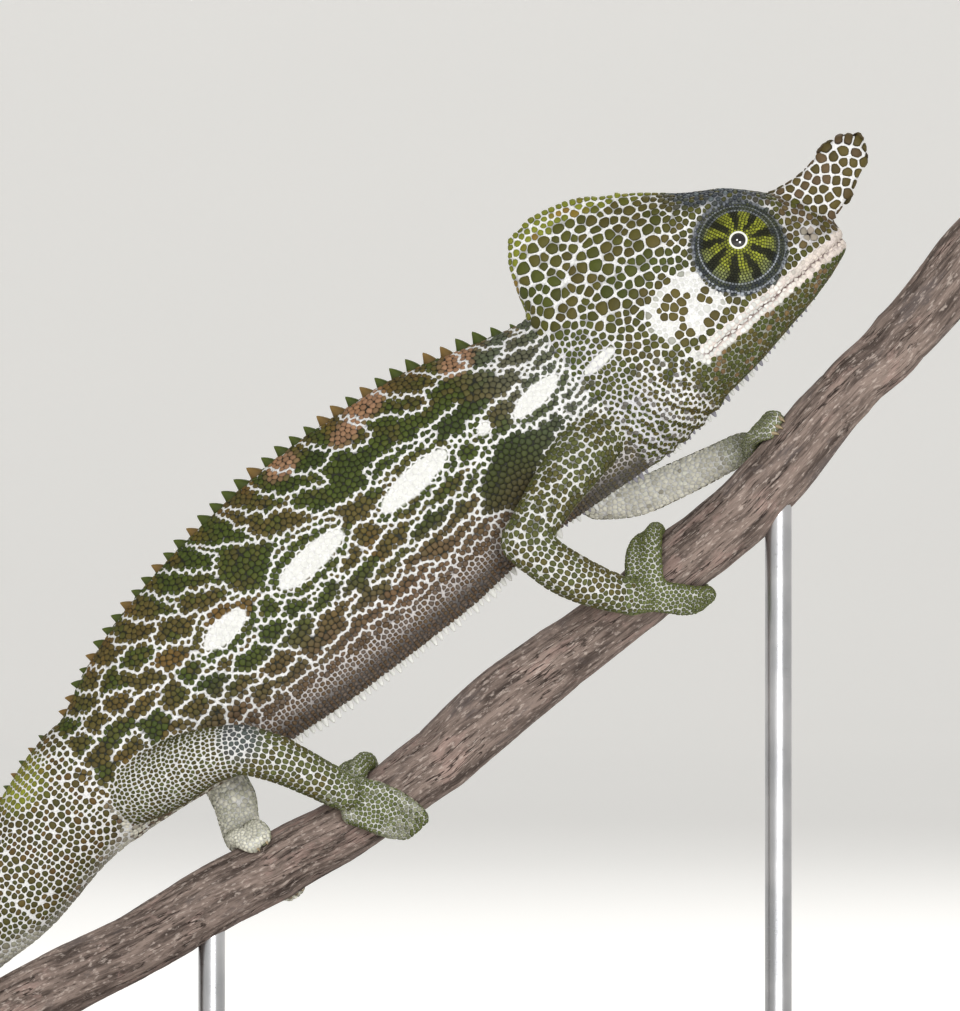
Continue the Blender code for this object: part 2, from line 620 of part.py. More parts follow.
def tail_path():
    """The tail's middle line and its up directions, a point at every path step.

    It leaves the pelvis in line and bends down to the pass beside the branch. From there it is
    worked out round the straight lower part of the branch: the distance from the branch closes
    to its own thickness, its run along the branch falls to a slow pitch, and what is left of
    each step goes round.
    """
    step = TAIL_PATH_STEP
    start = body_point(TAIL_ROOT_ALONG, TAIL_ROOT_RISE)
    end = np.array([TAIL_PASS[0], 0.0, TAIL_PASS[1]])
    chord = np.linalg.norm(end - start)
    leaving = np.array([-math.cos(BODY_PITCH), 0.0, -math.sin(BODY_PITCH)])
    heading = np.array([-math.cos(TAIL_PASS_PITCH), 0.0, -math.sin(TAIL_PASS_PITCH)])
    steps = int(chord / step) + 1
    points = list(hermite(start, end, leaving * chord, heading * chord, steps))
    ups = [np.cross([0.0, 1.0, 0.0], heading)] * steps
    foot, rising, radius = branch_frame(TAIL_WOUND_FROM)
    near, top = np.array([0.0, -1.0, 0.0]), np.array([-rising[2], 0.0, rising[0]])
    run, distance, turn = np.dot(foot - end, rising), np.dot(end - foot, top), math.pi / 2
    run_share, close_share = -np.dot(heading, rising), np.dot(heading, top)
    for length in np.arange((steps - 1) * step, TAIL_LENGTH, step) + step:
        wide = smooth_at(TAIL_GIRTH, [length])[0][0]
        aim = radius + TAIL_CLEARANCE + wide
        pitch = (2 * wide + TAIL_TURN_GAP) / (2 * math.pi * aim)
        settle = min(1.0, (length - chord) / TAIL_SETTLE)
        run_share += (pitch - run_share) * settle * settle * (3 - 2 * settle) * TAIL_BEND
        close_share = max(close_share, (aim - distance) * TAIL_BEND)
        close = (aim - distance) * TAIL_OPENING
        if distance > aim:
            close = max(min(close_share, 0.0), (aim - distance) * TAIL_CLOSING)
        run += run_share * step
        distance += close * step
        turn += math.sqrt(max(0.0, 1 - run_share ** 2 - close ** 2)) * step / distance
        ups.append(near * math.cos(turn) + top * math.sin(turn))
        points.append(foot - rising * run + ups[-1] * distance)
    return np.array(points), np.array(ups)


def build_tail():
    """The tail's lengths, a thin cut apart, the first one with the end of the crest."""
    path, ups = tail_path()
    lengths = np.concatenate([[0.0], np.cumsum(np.linalg.norm(np.diff(path, axis=0), axis=1))])
    lengths *= TAIL_LENGTH / lengths[-1]
    wide, deep = smooth_at(TAIL_GIRTH, lengths).T
    rings, forward = tube_rings(path, ups, wide, deep, TAIL_SIDES)
    start = 0.0
    for number, end in enumerate(TAIL_NODE_ENDS):
        steps = max(3, round((end - start) / TAIL_STEP))
        places = np.linspace(start + GAP / 2, end - GAP / 2, steps + 1)
        chosen = np.array([[np.interp(places, lengths, rings[:, i, k]) for k in range(3)]
                           for i in range(TAIL_SIDES)])
        piece = loft(list(chosen.transpose(2, 0, 1)), f"tail_{number + 1}", "skin_green")
        if number == 0:
            first, last, spacing = TAIL_CREST
            for place in np.arange(first, last, spacing):
                i = int(np.searchsorted(lengths, place))
                root = path[i] + ups[i] * deep[i]
                add_crest_scale(piece, root, ups[i], forward[i], 1.0 - CREST_FADE)
        start = end


# ---------------------------------------------------------------- the legs and feet

def torso_clearance():
    """The whole torso with the gap added and both ends drawn out, to cut a leg's root."""
    places = np.linspace(TORSO[0][0], TORSO[-1][0], CUTTER_STEPS)
    rings = [torso_ring(place, GAP) for place in places]
    reach = body_point(CUTTER_REACH, 0.0) - body_point(0.0, 0.0)
    return loft([rings[0] + reach, *rings, rings[-1] - reach], "torso_clearance", "skin_green")


def bundle(frame, points, thick, name):
    """A bundle of toes bent round the branch, flat against it and rounded at its end."""
    rows = smooth(points, np.linspace(0, len(points) - 1, BUNDLE_STEPS))
    heights = thick * np.linspace(1.0, BUNDLE_THINNING, BUNDLE_STEPS)
    sinks = thick * BUNDLE_SINK * np.linspace(1.0, BUNDLE_TAPER, BUNDLE_STEPS)
    placed = [around(frame, along, angle, frame[2] + sink)
              for (along, angle, _), sink in zip(rows, sinks)]
    path, ups = (np.array(part) for part in zip(*placed))
    return rounded_tube(path, ups, rows[:, 2], heights, BUNDLE_SIDES, name, "skin_green"), path, ups


def claws(path, ups, half, count):
    """Claws side by side at a bundle's end, each a thin pyramid that dips to the bark."""
    forward = unit(path[-1] - path[-2])
    side = np.cross(forward, ups[-1])
    for number in range(count):
        place = (number - (count - 1) / 2) * CLAW_SPREAD * half / max(count - 1, 1)
        root = path[-1] + side * place
        tip = root + forward * (CLAW_LENGTH + half / 2) - ups[-1] * CLAW_DIP
        foot = [root + (side * a + ups[-1] * b) * CLAW_RADIUS for a, b in DIAMOND]
        yield loft([foot], "claw", "skin_green", closed_ends=(None, tip))


def limb_part(rows, outward, grow, name):
    """One length of a leg: a tube with domed ends, a little flatter on its outer side."""
    radii = rows[:, 3] + grow
    flat = radii * LEG_FLATNESS
    return rounded_tube(rows[:, :3], outward, radii, flat, LEG_SIDES, name, "skin_green")


def build_leg(place, lines):
    """Upper and lower limb and foot, each cut to stand the gap off the one before it."""
    upper_name, lower_name = LIMB_NAMES[place.split("_")[0]]
    outward = LIMB_OUTWARD[place.split("_")[1]]
    upper_rows, lower_rows = (smooth(line, np.linspace(0, len(line) - 1, LEG_STEPS)) for line in lines)
    upper = limb_part(upper_rows, outward, 0.0, f"{place}_{upper_name}")
    combine(upper, torso_clearance(), "DIFFERENCE")
    keep_largest(upper)
    lower = limb_part(lower_rows, outward, 0.0, f"{place}_{lower_name}")
    combine(lower, limb_part(upper_rows, outward, GAP, "limb_clearance"), "DIFFERENCE")
    keep_largest(lower)
    radii = lower_rows[:, 3]
    rings, forward = tube_rings(lower_rows[:, :3], outward, radii, radii * LEG_FLATNESS, LEG_SIDES)
    wrist = rings[-1] - forward[-1] * GAP
    build_foot(place, wrist, forward[-1], limb_part(lower_rows, outward, GAP, "limb_clearance"))


def build_foot(place, wrist, heading, clearance):
    """Palm and two bundles of toes round the branch, cut to stand the gap off bark and limb."""
    foot = FEET[place]
    frame = branch_frame(foot["x"])
    along, angle, half = foot["palm"]
    thick = foot["thick"]
    middle, outward = around(frame, along, angle, frame[2] + thick + PALM_RISE)
    palm = tube_rings([middle - heading, middle], outward, half, thick, LEG_SIDES)[0][-1] - middle
    offsets = wrist - wrist.mean(axis=0)
    turn = min(range(LEG_SIDES), key=lambda k: np.sum((np.roll(palm, k, axis=0) - offsets) ** 2))
    palm = np.roll(palm, turn, axis=0)
    rings = [wrist * (1 - share) + (middle + palm) * share for share in PALM_SHARES]
    reach, thinner, point = PALM_TIP
    rings.append(middle + heading * half * reach + palm * thinner)
    body = loft(rings, f"{place}_{FOOT_NAMES[place.split('_')[0]]}", "skin_green",
                closed_ends=(None, middle + heading * half * point))
    for which, count in foot["toes"].items():
        toes, path, ups = bundle(frame, foot[which], thick, f"{which}_toes")
        combine(body, toes, "UNION")
        for claw in claws(path, ups, foot[which][-1][2], count):
            combine(body, claw, "UNION")
    combine(body, clearance, "DIFFERENCE")
    combine(body, branch_body("branch_clearance", GAP), "DIFFERENCE")
    keep_largest(body)


# ---------------------------------------------------------------- the branch and its stand

def branch_body(name, grow=0.0):
    """The cut branch: an uneven round, a little flatter here and there, with flat sawn ends."""
    places = np.linspace(BRANCH_LINE[0][0], BRANCH_LINE[-1][0], BRANCH_STEPS)
    rows = smooth_at(BRANCH_LINE, places)
    wander, second, third = BRANCH_WAVES
    path = np.stack([places, BRANCH_WANDER * np.sin(places * wander), rows[:, 0]], axis=1)
    rings, _ = tube_rings(path, [0.0, -1.0, 0.0], 1.0, 1.0, BRANCH_SIDES)
    angle = np.linspace(0, 2 * math.pi, BRANCH_SIDES, endpoint=False)
    lumps = BRANCH_LUMPS * (np.sin(2 * angle[None] + second * places[:, None])
                            + np.sin(3 * angle[None] - third * places[:, None] + 1.0))
    size = rows[:, 1][:, None] + lumps + grow
    rings = path[:, None] + (rings - path[:, None]) * size[..., None]
    return loft(list(rings), name, "bark")


def stand_base():
    """A flat plate with round corners and a bevelled upper edge, resting on z = 0."""
    bm = bmesh.new()
    outline = []
    for quarter, (sx, sy) in enumerate(((1, 1), (-1, 1), (-1, -1), (1, -1))):
        x, y = sx * (BASE_LENGTH / 2 - BASE_CORNER), sy * (BASE_WIDTH / 2 - BASE_CORNER)
        for k in range(CORNER_STEPS + 1):
            a = math.radians(90 * (quarter + k / CORNER_STEPS))
            outline.append((x + BASE_CORNER * math.cos(a), y + BASE_CORNER * math.sin(a)))
    face = bm.faces.new([bm.verts.new((x, y, 0.0)) for x, y in outline])
    grown = bmesh.ops.extrude_face_region(bm, geom=[face])
    lifted = [item for item in grown["geom"] if isinstance(item, bmesh.types.BMVert)]
    bmesh.ops.translate(bm, verts=lifted, vec=(0, 0, BASE_THICK))
    rim = [edge for edge in bm.edges if all(abs(v.co.z - BASE_THICK) < MERGE for v in edge.verts)]
    bmesh.ops.bevel(bm, geom=rim, offset=BASE_BEVEL, segments=2, affect="EDGES")
    return object_from(bm, "stand_base", "lacquered_wood")


def stand_rod(name, x):
    """A steel rod on a turned collar, hollowed at its top to follow the branch."""
    frame = branch_frame(x)
    foot = BASE_THICK + GAP
    profile = [(ROD_COLLAR_RADIUS * wide, foot + ROD_COLLAR_HEIGHT * high)
               for wide, high in ROD_COLLAR_PROFILE]
    profile.append((ROD_RADIUS, foot + ROD_COLLAR_HEIGHT))
    profile.append((ROD_RADIUS, frame[0][2] - frame[2] * ROD_BITE))
    angle = np.linspace(0, 2 * math.pi, ROD_SIDES, endpoint=False)
    rings = [[(x + r * math.cos(a), r * math.sin(a), z) for a in angle] for r, z in profile]
    rod = loft(rings, name, "brushed_steel")
    combine(rod, branch_body("branch_clearance", GAP), "DIFFERENCE")
    keep_largest(rod)


def main():
    for item in list(bpy.data.objects):
        bpy.data.objects.remove(item)
    branch_body("branch")
    stand_base()
    for name, x in ROD_PLACES.items():
        stand_rod(name, x)
    build_torso()
    build_head()
    build_tail()
    for place, lines in LEGS.items():
        build_leg(place, lines)


main()
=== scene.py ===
"""A male Labord's chameleon at life size, climbing a cut length of branch on a display stand.

Lengths are worked out in millimetres and turned to metres when a mesh is made. The animal faces
+X, its right side faces -Y and +Z is up. Its head and trunk are measured in a body frame that
is pitched up: "along" runs from the tail to the snout and "rise" from the belly to the back.
"""
import math

import bpy
import numpy as np
from mathutils.bvhtree import BVHTree
from mathutils.kdtree import KDTree
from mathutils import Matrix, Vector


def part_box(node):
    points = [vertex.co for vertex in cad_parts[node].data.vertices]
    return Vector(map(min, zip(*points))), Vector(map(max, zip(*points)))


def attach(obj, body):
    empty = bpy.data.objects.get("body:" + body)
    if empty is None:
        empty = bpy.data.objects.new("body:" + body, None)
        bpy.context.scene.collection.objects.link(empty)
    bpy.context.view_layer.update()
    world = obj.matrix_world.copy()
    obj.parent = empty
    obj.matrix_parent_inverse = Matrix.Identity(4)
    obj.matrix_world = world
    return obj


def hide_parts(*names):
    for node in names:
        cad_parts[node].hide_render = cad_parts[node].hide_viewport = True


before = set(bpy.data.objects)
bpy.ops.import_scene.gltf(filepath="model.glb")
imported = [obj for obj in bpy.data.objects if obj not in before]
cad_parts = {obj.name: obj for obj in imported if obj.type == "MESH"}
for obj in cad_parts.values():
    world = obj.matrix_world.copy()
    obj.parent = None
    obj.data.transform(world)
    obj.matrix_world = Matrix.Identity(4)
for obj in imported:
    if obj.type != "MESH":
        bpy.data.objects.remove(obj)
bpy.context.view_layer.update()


# ---- the stand's base
# A flat plate of dark hardwood with round corners and an eased upper edge, lacquered to a
# satin shine. Its grain runs along the plate, with fine pores under the lacquer.

MM = 0.001  # metres
BASE_PLAN = (128.0, 66.0, 16.0)  # length, width, radius of the corners
BASE_EDGE = [(0.25, 0.0), (0.0, 0.25), (0.0, 6.8), (0.09, 7.26), (0.35, 7.65), (0.74, 7.91), (1.2, 8.0)]
CORNER_STEPS = 20
EDGE_ANGLE = 35  # degrees, past which an edge looks sharp


class Signal:
    """A number of a material that changes over the surface. Sums and products add Math nodes."""

    def __init__(self, finish, socket):
        self.finish = finish
        self.socket = socket

    def joined(self, operation, first, second):
        """A new number from two, by one operation."""
        return self.finish.node("ShaderNodeMath", {"operation": operation}, {0: first, 1: second})

    def __add__(self, other):
        return self.joined("ADD", self, other)

    def __sub__(self, other):
        return self.joined("SUBTRACT", self, other)

    def __rsub__(self, other):
        return self.joined("SUBTRACT", other, self)

    def __mul__(self, other):
        return self.joined("MULTIPLY", self, other)

    __radd__ = __add__
    __rmul__ = __mul__


class Finish:
    """A material, with one method that adds any node to it."""

    def __init__(self, name, fixed):
        self.material = bpy.data.materials.new(name)
        self.material.use_nodes = True
        self.tree = self.material.node_tree
        self.shader = self.tree.nodes["Principled BSDF"]
        for socket, value in fixed.items():
            self.shader.inputs[socket].default_value = value

    def node(self, kind, settings, sockets, output=0):
        """Adds a node: its settings first, then the values or links of its sockets."""
        made = self.tree.nodes.new(kind)
        for setting, value in settings.items():
            setattr(made, setting, value)
        for socket, value in sockets.items():
            self.join(made.inputs[socket], value)
        return Signal(self, made.outputs[output])

    def join(self, socket, value):
        """Links a signal to a socket, or sets a plain value there."""
        if isinstance(value, Signal):
            self.tree.links.new(value.socket, socket)
        else:
            socket.default_value = value

    def mix(self, share, first, second):
        """A colour between two colours."""
        return self.node("ShaderNodeMix", {"data_type": "RGBA"}, {0: share, 6: first, 7: second}, 2)

    def ramp(self, value, low, high):
        """0 under low, 1 over high, smooth between."""
        settings = {"interpolation_type": "SMOOTHSTEP"}
        return self.node("ShaderNodeMapRange", settings, {"Value": value, 1: low, 2: high})

    def place(self, scale=(1.0, 1.0, 1.0)):
        """The object's own coordinates, stretched."""
        coordinates = self.node("ShaderNodeTexCoord", {}, {}, "Object")
        return self.node("ShaderNodeMapping", {}, {"Vector": coordinates, "Scale": scale})

    def noise(self, place, scale, detail, rough=0.5):
        """Cloudy noise from 0 to 1, scale times to the unit of the place."""
        sockets = {"Vector": place, "Scale": scale, "Detail": detail, "Roughness": rough}
        return self.node("ShaderNodeTexNoise", {}, sockets, "Fac")

    def surface(self, colour, roughness=None, height=None, depth=None, strength=None):
        """Joins what changes over the surface to the shader: colour, roughness and relief."""
        self.join(self.shader.inputs["Base Color"], colour)
        if roughness is not None:
            self.join(self.shader.inputs["Roughness"], roughness)
        if height is not None:
            sockets = {"Height": height, "Distance": depth, "Strength": strength}
            self.join(self.shader.inputs["Normal"], self.node("ShaderNodeBump", {}, sockets))


def tone(red, green, blue):
    """A colour named in the usual 0 to 255 steps, as the light it reflects."""
    share = np.array([red, green, blue]) / 255
    light = np.where(share < 0.04045, share / 12.92, ((share + 0.055) / 1.055) ** 2.4)
    return np.append(light, 1.0)


def ring_faces(rows, columns, start=0):
    """Four-sided faces between rings of points, and the two end rings as faces of their own."""
    i, j = np.meshgrid(np.arange(rows - 1), np.arange(columns), indexing="ij")
    k = (j + 1) % columns
    low, high = i * columns, (i + 1) * columns
    quads = np.stack([low + j, low + k, high + k, high + j], -1)
    ends = [np.arange(columns)[::-1], (rows - 1) * columns + np.arange(columns)]
    return [quads.reshape(-1, 4) + start, np.array(ends) + start]


def new_piece(name, points, faces, material):
    """A mesh object that rides on the root body. Its points are in millimetres. Its faces come as
    arrays of corner numbers, one array for each number of corners, and all are turned over where
    the volume they close, a sum of triple products, comes out below zero."""
    mesh = bpy.data.meshes.new(name)
    points = np.asarray(points, float).reshape(-1, 3)
    volume = 0.0
    for group in faces:
        for corner in range(1, group.shape[1] - 1):
            first, second, third = (points[group[:, number]] for number in (0, corner, corner + 1))
            volume += np.sum(first * np.cross(second, third))
    if volume < 0:
        faces = [group[:, ::-1] for group in faces]
    corners = np.concatenate([group.ravel() for group in faces])
    sizes = np.concatenate([np.full(len(group), group.shape[1]) for group in faces])
    mesh.vertices.add(len(points))
    mesh.vertices.foreach_set("co", (points * MM).ravel())
    mesh.loops.add(len(corners))
    mesh.loops.foreach_set("vertex_index", corners)
    mesh.polygons.add(len(sizes))
    mesh.polygons.foreach_set("loop_start", np.concatenate([[0], np.cumsum(sizes)[:-1]]))
    mesh.update(calc_edges=True)
    mesh.validate()
    mesh.shade_smooth()
    mesh.materials.append(material)
    made = bpy.data.objects.new(name, mesh)
    bpy.context.scene.collection.objects.link(made)
    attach(made, "root")
    return made


lacquer = Finish("dark_lacquered_wood", {"Coat Weight": 0.6, "Coat Roughness": 0.12, "IOR": 1.5})
grain_place = lacquer.place((60.0, 620.0, 620.0))
grain = lacquer.noise(grain_place, 1.0, 5.0, 0.6)
pores = lacquer.noise(lacquer.place((260.0, 3600.0, 3600.0)), 1.0, 2.0)
wood_colour = lacquer.mix(lacquer.ramp(grain, 0.3, 0.72), tone(38, 24, 17), tone(78, 50, 34))
wood_colour = lacquer.mix(lacquer.ramp(pores, 0.62, 0.74) * 0.6, wood_colour, tone(20, 13, 10))
lacquer.surface(wood_colour, 0.3 + grain * 0.12, grain * 0.5 + pores, 0.00006, 0.35)
inset, height = np.array(BASE_EDGE)[:, :, None, None].swapaxes(0, 1)
long, wide, corner_radius = BASE_PLAN
quarter = np.arange(4)[:, None] * math.pi / 2
corner_turn = quarter + np.linspace(0, math.pi / 2, CORNER_STEPS)
corner_x = np.sign(np.cos(quarter + math.pi / 4)) * (long / 2 - corner_radius)
corner_y = np.sign(np.sin(quarter + math.pi / 4)) * (wide / 2 - corner_radius)
plate_x = corner_x + (corner_radius - inset) * np.cos(corner_turn)
plate_y = corner_y + (corner_radius - inset) * np.sin(corner_turn)
plate_points = np.stack(np.broadcast_arrays(plate_x, plate_y, height), -1)
plate_faces = ring_faces(len(BASE_EDGE), 4 * CORNER_STEPS)
plate = new_piece("stand_base_plate", plate_points, plate_faces, lacquer.material)
plate.data.set_sharp_from_angle(angle=math.radians(EDGE_ANGLE))
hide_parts("stand_base")


# ---- the branch
# A dead, weathered branch: long fibres that have split along the grain, pale flakes of bark
# between grey worn wood, and a few knots. Its two ends are sawn square.

BRANCH_LINE = [
    (-74.5, 16.3, 4.1), (-50.4, 29.2, 4.2), (-33.6, 38.2, 4.0), (-17.4, 47.3, 3.8),
    (-8.4, 52.7, 3.9), (2.4, 60.5, 3.9), (9.6, 66.9, 4.1), (16.8, 72.4, 4.0), (26.4, 79.5, 3.8),
    (34.2, 86.3, 3.8), (40.8, 92.7, 3.8), (51.0, 104.2, 3.7), (57.6, 111.0, 3.7), (69.6, 124.1, 3.5),
]
BRANCH_LUMPS = 0.16
BRANCH_WANDER = 0.3  # from side to side
BRANCH_WAVES = 0.09, 0.21, 0.13  # of the wander and of the two and three lumps round it
BRANCH_GRID = 460, 132
BARK_RELIEF = 0.06, 0.24, 0.06, 0.02  # heights of the fibres, cracks, flakes and fine grain
KNOTS = [(-60.0, 4.4, 2.6, 0.5), (-14.0, 5.0, 2.2, 0.45), (4.0, 1.2, 2.0, 0.35),
         (31.0, 3.5, 2.4, 0.4), (49.0, 5.4, 1.8, 0.5), (63.0, 0.4, 2.0, 0.4)]


def smooth(table, steps):
    """Rows of numbers read at fractional row numbers, along a cubic curve through every row whose
    slope at a row is half the step between the rows before and after it."""
    rows = np.array(table, float)
    last = len(rows) - 1
    steps = np.clip(np.asarray(steps, float), 0, last)
    low = np.minimum(steps.astype(int), last - 1)
    t = (steps - low)[:, None]
    before, after = rows[np.maximum(low - 1, 0)], rows[np.minimum(low + 2, last)]
    a, b = rows[low], rows[low + 1]
    return 0.5 * (2 * a + (b - before) * t + (2 * before - 5 * a + 4 * b - after) * t ** 2
                  + (3 * a - before - 3 * b + after) * t ** 3)


def smooth_at(table, values):
    """Rows read where their first number takes the given values. It rises or falls all through."""
    first = np.array([row[0] for row in table], float)
    order = np.argsort(first)
    return smooth(table, np.interp(values, first[order], order.astype(float)))[:, 1:]


def unit(vectors):
    """Vectors made 1 long."""
    return vectors / np.linalg.norm(vectors, axis=-1, keepdims=True)


def around(sides):
    """Even turns round a ring, in radians."""
    return np.linspace(0, 2 * math.pi, sides, endpoint=False)


def rings_along(path, ups, widths, heights, sides):
    """Ovals square to a path: middle + side * width * cos(turn) + up * height * sin(turn)."""
    path = np.asarray(path, float)
    forward = unit(np.gradient(path, axis=0))
    ups = np.broadcast_to(np.asarray(ups, float), path.shape)
    ups = unit(ups - forward * np.sum(ups * forward, axis=1, keepdims=True))
    side = np.cross(forward, ups)
    turn = around(sides)[None, :, None]
    widths, heights = (np.broadcast_to(size, len(path))[:, None, None] for size in (widths, heights))
    return path[:, None] + side[:, None] * widths * np.cos(turn) + ups[:, None] * heights * np.sin(turn)


def chance(*numbers):
    """A fixed number from 0 to 1 for each set of whole numbers: their bits are stirred together."""
    mixed = np.zeros(np.broadcast(*numbers).shape, np.uint64)
    for number, prime in zip(numbers, (73856093, 19349663, 83492791, 49979687)):
        mixed ^= np.asarray(number, np.int64).astype(np.uint64) * np.uint64(prime)
        mixed ^= mixed >> np.uint64(15)
        mixed *= np.uint64(2246822519)
    mixed ^= mixed >> np.uint64(29)
    return (mixed & np.uint64(0xFFFFFF)).astype(float) / 0xFFFFFF


def lumps(points, size, seed):
    """Soft lumps of a size, from -1 to 1: chance at the corners of a lattice, blended between."""
    scaled = np.asarray(points, float) / size
    low = np.floor(scaled).astype(np.int64)
    t = scaled - low
    t = t * t * (3 - 2 * t)
    total = 0.0
    for corner in np.ndindex(2, 2, 2):
        corner = np.array(corner)
        weight = np.prod(np.where(corner, t, 1 - t), axis=-1)
        total = total + weight * chance(*np.moveaxis(low + corner, -1, 0), seed)
    return total * 2 - 1


def bark_surface():
    """Rings along the branch's line, moved out by lumps, long fibres, cracks, flakes and knots."""
    rows, columns = BRANCH_GRID
    x = np.linspace(BRANCH_LINE[0][0], BRANCH_LINE[-1][0], rows)
    z, radius = smooth_at(BRANCH_LINE, x).T
    wander, second, third = BRANCH_WAVES
    path = np.stack([x, BRANCH_WANDER * np.sin(x * wander), z], axis=1)
    turn = around(columns)
    size = radius[:, None] + BRANCH_LUMPS * (np.sin(2 * turn + second * x[:, None])
                                             + np.sin(3 * turn - third * x[:, None] + 1.0))
    run = x[:, None] + 0 * turn
    twist = turn + 0.012 * run
    round_place = np.stack([radius.mean() * np.cos(twist), radius.mean() * np.sin(twist), run], -1)
    long_grain = round_place / [1.0, 1.0, 9.0]
    fibres = lumps(long_grain, 0.42, 1) * 0.5 + lumps(long_grain, 0.9, 2)
    cracks = np.clip(1 - np.abs(lumps(long_grain, 1.3, 3)) / 0.10, 0, 1)
    cracks *= np.clip(lumps(round_place, 9.0, 4) * 2 + 0.6, 0, 1)
    flakes = np.clip(lumps(round_place / [1.0, 1.0, 3.2], 1.6, 5) * 4, -1, 1)
    fibre_high, crack_deep, flake_high, grain_high = BARK_RELIEF
    relief = fibre_high * fibres - crack_deep * cracks + flake_high * flakes
    relief += grain_high * lumps(round_place, 0.35, 6)
    for place, angle, wide, high in KNOTS:
        across = np.angle(np.exp(1j * (turn - angle))) * radius[:, None]
        away = np.hypot((run - place) / 1.5, across) / wide
        relief += high * np.exp(-away ** 2 * 2) - high * 0.8 * np.exp(-away ** 2 * 22)
    rings = rings_along(path, [0.0, -1.0, 0.0], 1.0, 1.0, columns)
    points = path[:, None] + (rings - path[:, None]) * (size + relief)[..., None]
    return points, ring_faces(rows, columns), round_place


bark = Finish("weathered_bark", {"Specular IOR Level": 0.2})
grain_place = bark.node("ShaderNodeAttribute", {"attribute_name": "grain"}, {}, "Vector")


def bark_noise(across, along, detail, rough=0.6):
    """Noise so many times a millimetre across the grain and along it."""
    stretched = bark.node("ShaderNodeMapping", {}, {"Vector": grain_place, "Scale": (across, across, along)})
    return bark.noise(stretched, 1.0, detail, rough)


streaks = bark_noise(0.9, 0.15, 7.0, 0.68)
fine_fibres = bark_noise(4.6, 0.6, 4.0)
patches = bark_noise(0.24, 0.14, 6.0, 0.7)
flecks = bark_noise(2.6, 1.3, 4.0)
split = bark.node("ShaderNodeMath", {"operation": "ABSOLUTE"}, {0: bark_noise(0.6, 0.07, 4.0) - 0.5})
splits = (1 - bark.ramp(split, 0.002, 0.012)) * bark.ramp(patches, 0.46, 0.54)
bark_colour = bark.mix(bark.ramp(streaks, 0.34, 0.62), tone(68, 58, 53), tone(140, 124, 115))
bark_colour = bark.mix(bark.ramp(patches, 0.52, 0.62) * 0.55, bark_colour, tone(160, 136, 127))
bark_colour = bark.mix(bark.ramp(patches, 0.44, 0.34) * 0.6, bark_colour, tone(88, 81, 80))
bark_colour = bark.mix(bark.ramp(flecks, 0.54, 0.66) * 0.55, bark_colour, tone(192, 178, 168))
bark_colour = bark.mix(bark.ramp(fine_fibres, 0.54, 0.68) * 0.6, bark_colour, tone(62, 51, 46))
bark_colour = bark.mix(splits * 0.85, bark_colour, tone(34, 26, 22))
bark_height = streaks * 0.6 - fine_fibres * 0.8 - splits * 1.2
bark.surface(bark_colour, 0.74 + streaks * 0.2, bark_height, 0.00022, 0.9)
bark_points, bark_faces, bark_grain = bark_surface()
branch = new_piece("bark", bark_points, bark_faces, bark.material)
layer = branch.data.attributes.new("grain", "FLOAT_VECTOR", "POINT")
layer.data.foreach_set("vector", bark_grain.ravel())
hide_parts("branch")


# ---- the stand's rods
# Two bright steel rods, each turned with a small collar that screws down on the base. Their
# tops run up into the branch's underside.

ROD_RADIUS = 1.6
ROD_COLLAR = [(3.9, 0.0), (4.2, 0.25), (4.2, 1.3), (4.0, 1.55), (2.5, 1.85), (1.9, 2.3), (1.6, 2.9)]
ROD_SIDES = 48
ROD_UNDER = 1.5  # how far the top stays under the branch's middle line
ROD_PLACES = {"stand_rod_rear": -25.0, "stand_rod_front": 43.0}
base_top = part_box("stand_base")[1].z / MM

steel = Finish("brushed_steel_rod", {"Metallic": 1.0})
brushing = steel.noise(steel.place((900.0, 900.0, 14000.0)), 1.0, 2.0)
smudges = steel.noise(steel.place(), 160.0, 2.0)
steel_colour = steel.mix(steel.ramp(smudges, 0.35, 0.7), tone(176, 177, 180), tone(198, 198, 200))
steel.surface(steel_colour, 0.2 + brushing * 0.16 + smudges * 0.06, brushing, 0.00003, 0.3)
for name, x in ROD_PLACES.items():
    top = smooth_at(BRANCH_LINE, [x])[0][0] - ROD_UNDER
    radii, heights = np.array(ROD_COLLAR + [(ROD_RADIUS, top - base_top)]).T[..., None]
    turn = around(ROD_SIDES)
    places = (x + radii * np.cos(turn), radii * np.sin(turn), base_top + heights)
    points = np.stack(np.broadcast_arrays(*places), -1)
    rod = new_piece(name + "_turned", points, ring_faces(len(radii), ROD_SIDES), steel.material)
    rod.data.set_sharp_from_angle(angle=math.radians(EDGE_ANGLE))
    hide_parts(name)


# ---- the skin
# One thin loose skin over the whole animal, from the blade on its snout to the tip of its tail.
# It shows white between the scales, and folds round the eyes, at the mouth and on the throat.

BODY_PITCH = math.radians(40)
EYES_X = 38.4
EYES_Z = 121.7
SCALE_DEPTH = 0.28  # how far the skin lies under the tips of the scales
SKIN_GRAIN = 0.43
SKIN_SMOOTHING = 4

# The torso: along, rise of the back, rise of the belly, half width.
TORSO = [
    (-25.0, 10.2, -13.4, 6.2), (-32.0, 12.1, -12.7, 6.9), (-41.0, 14.9, -11.9, 7.3),
    (-51.0, 16.2, -12.4, 7.5), (-60.0, 16.8, -12.2, 7.5), (-70.0, 16.4, -11.7, 7.2),
    (-78.0, 15.6, -10.9, 6.8), (-86.0, 14.1, -10.0, 6.3), (-93.0, 11.9, -8.9, 6.0),
    (-100.0, 8.9, -8.1, 5.7),
]
TORSO_WAIST = 0.45
RIDGE_SHARPNESS = 0.45

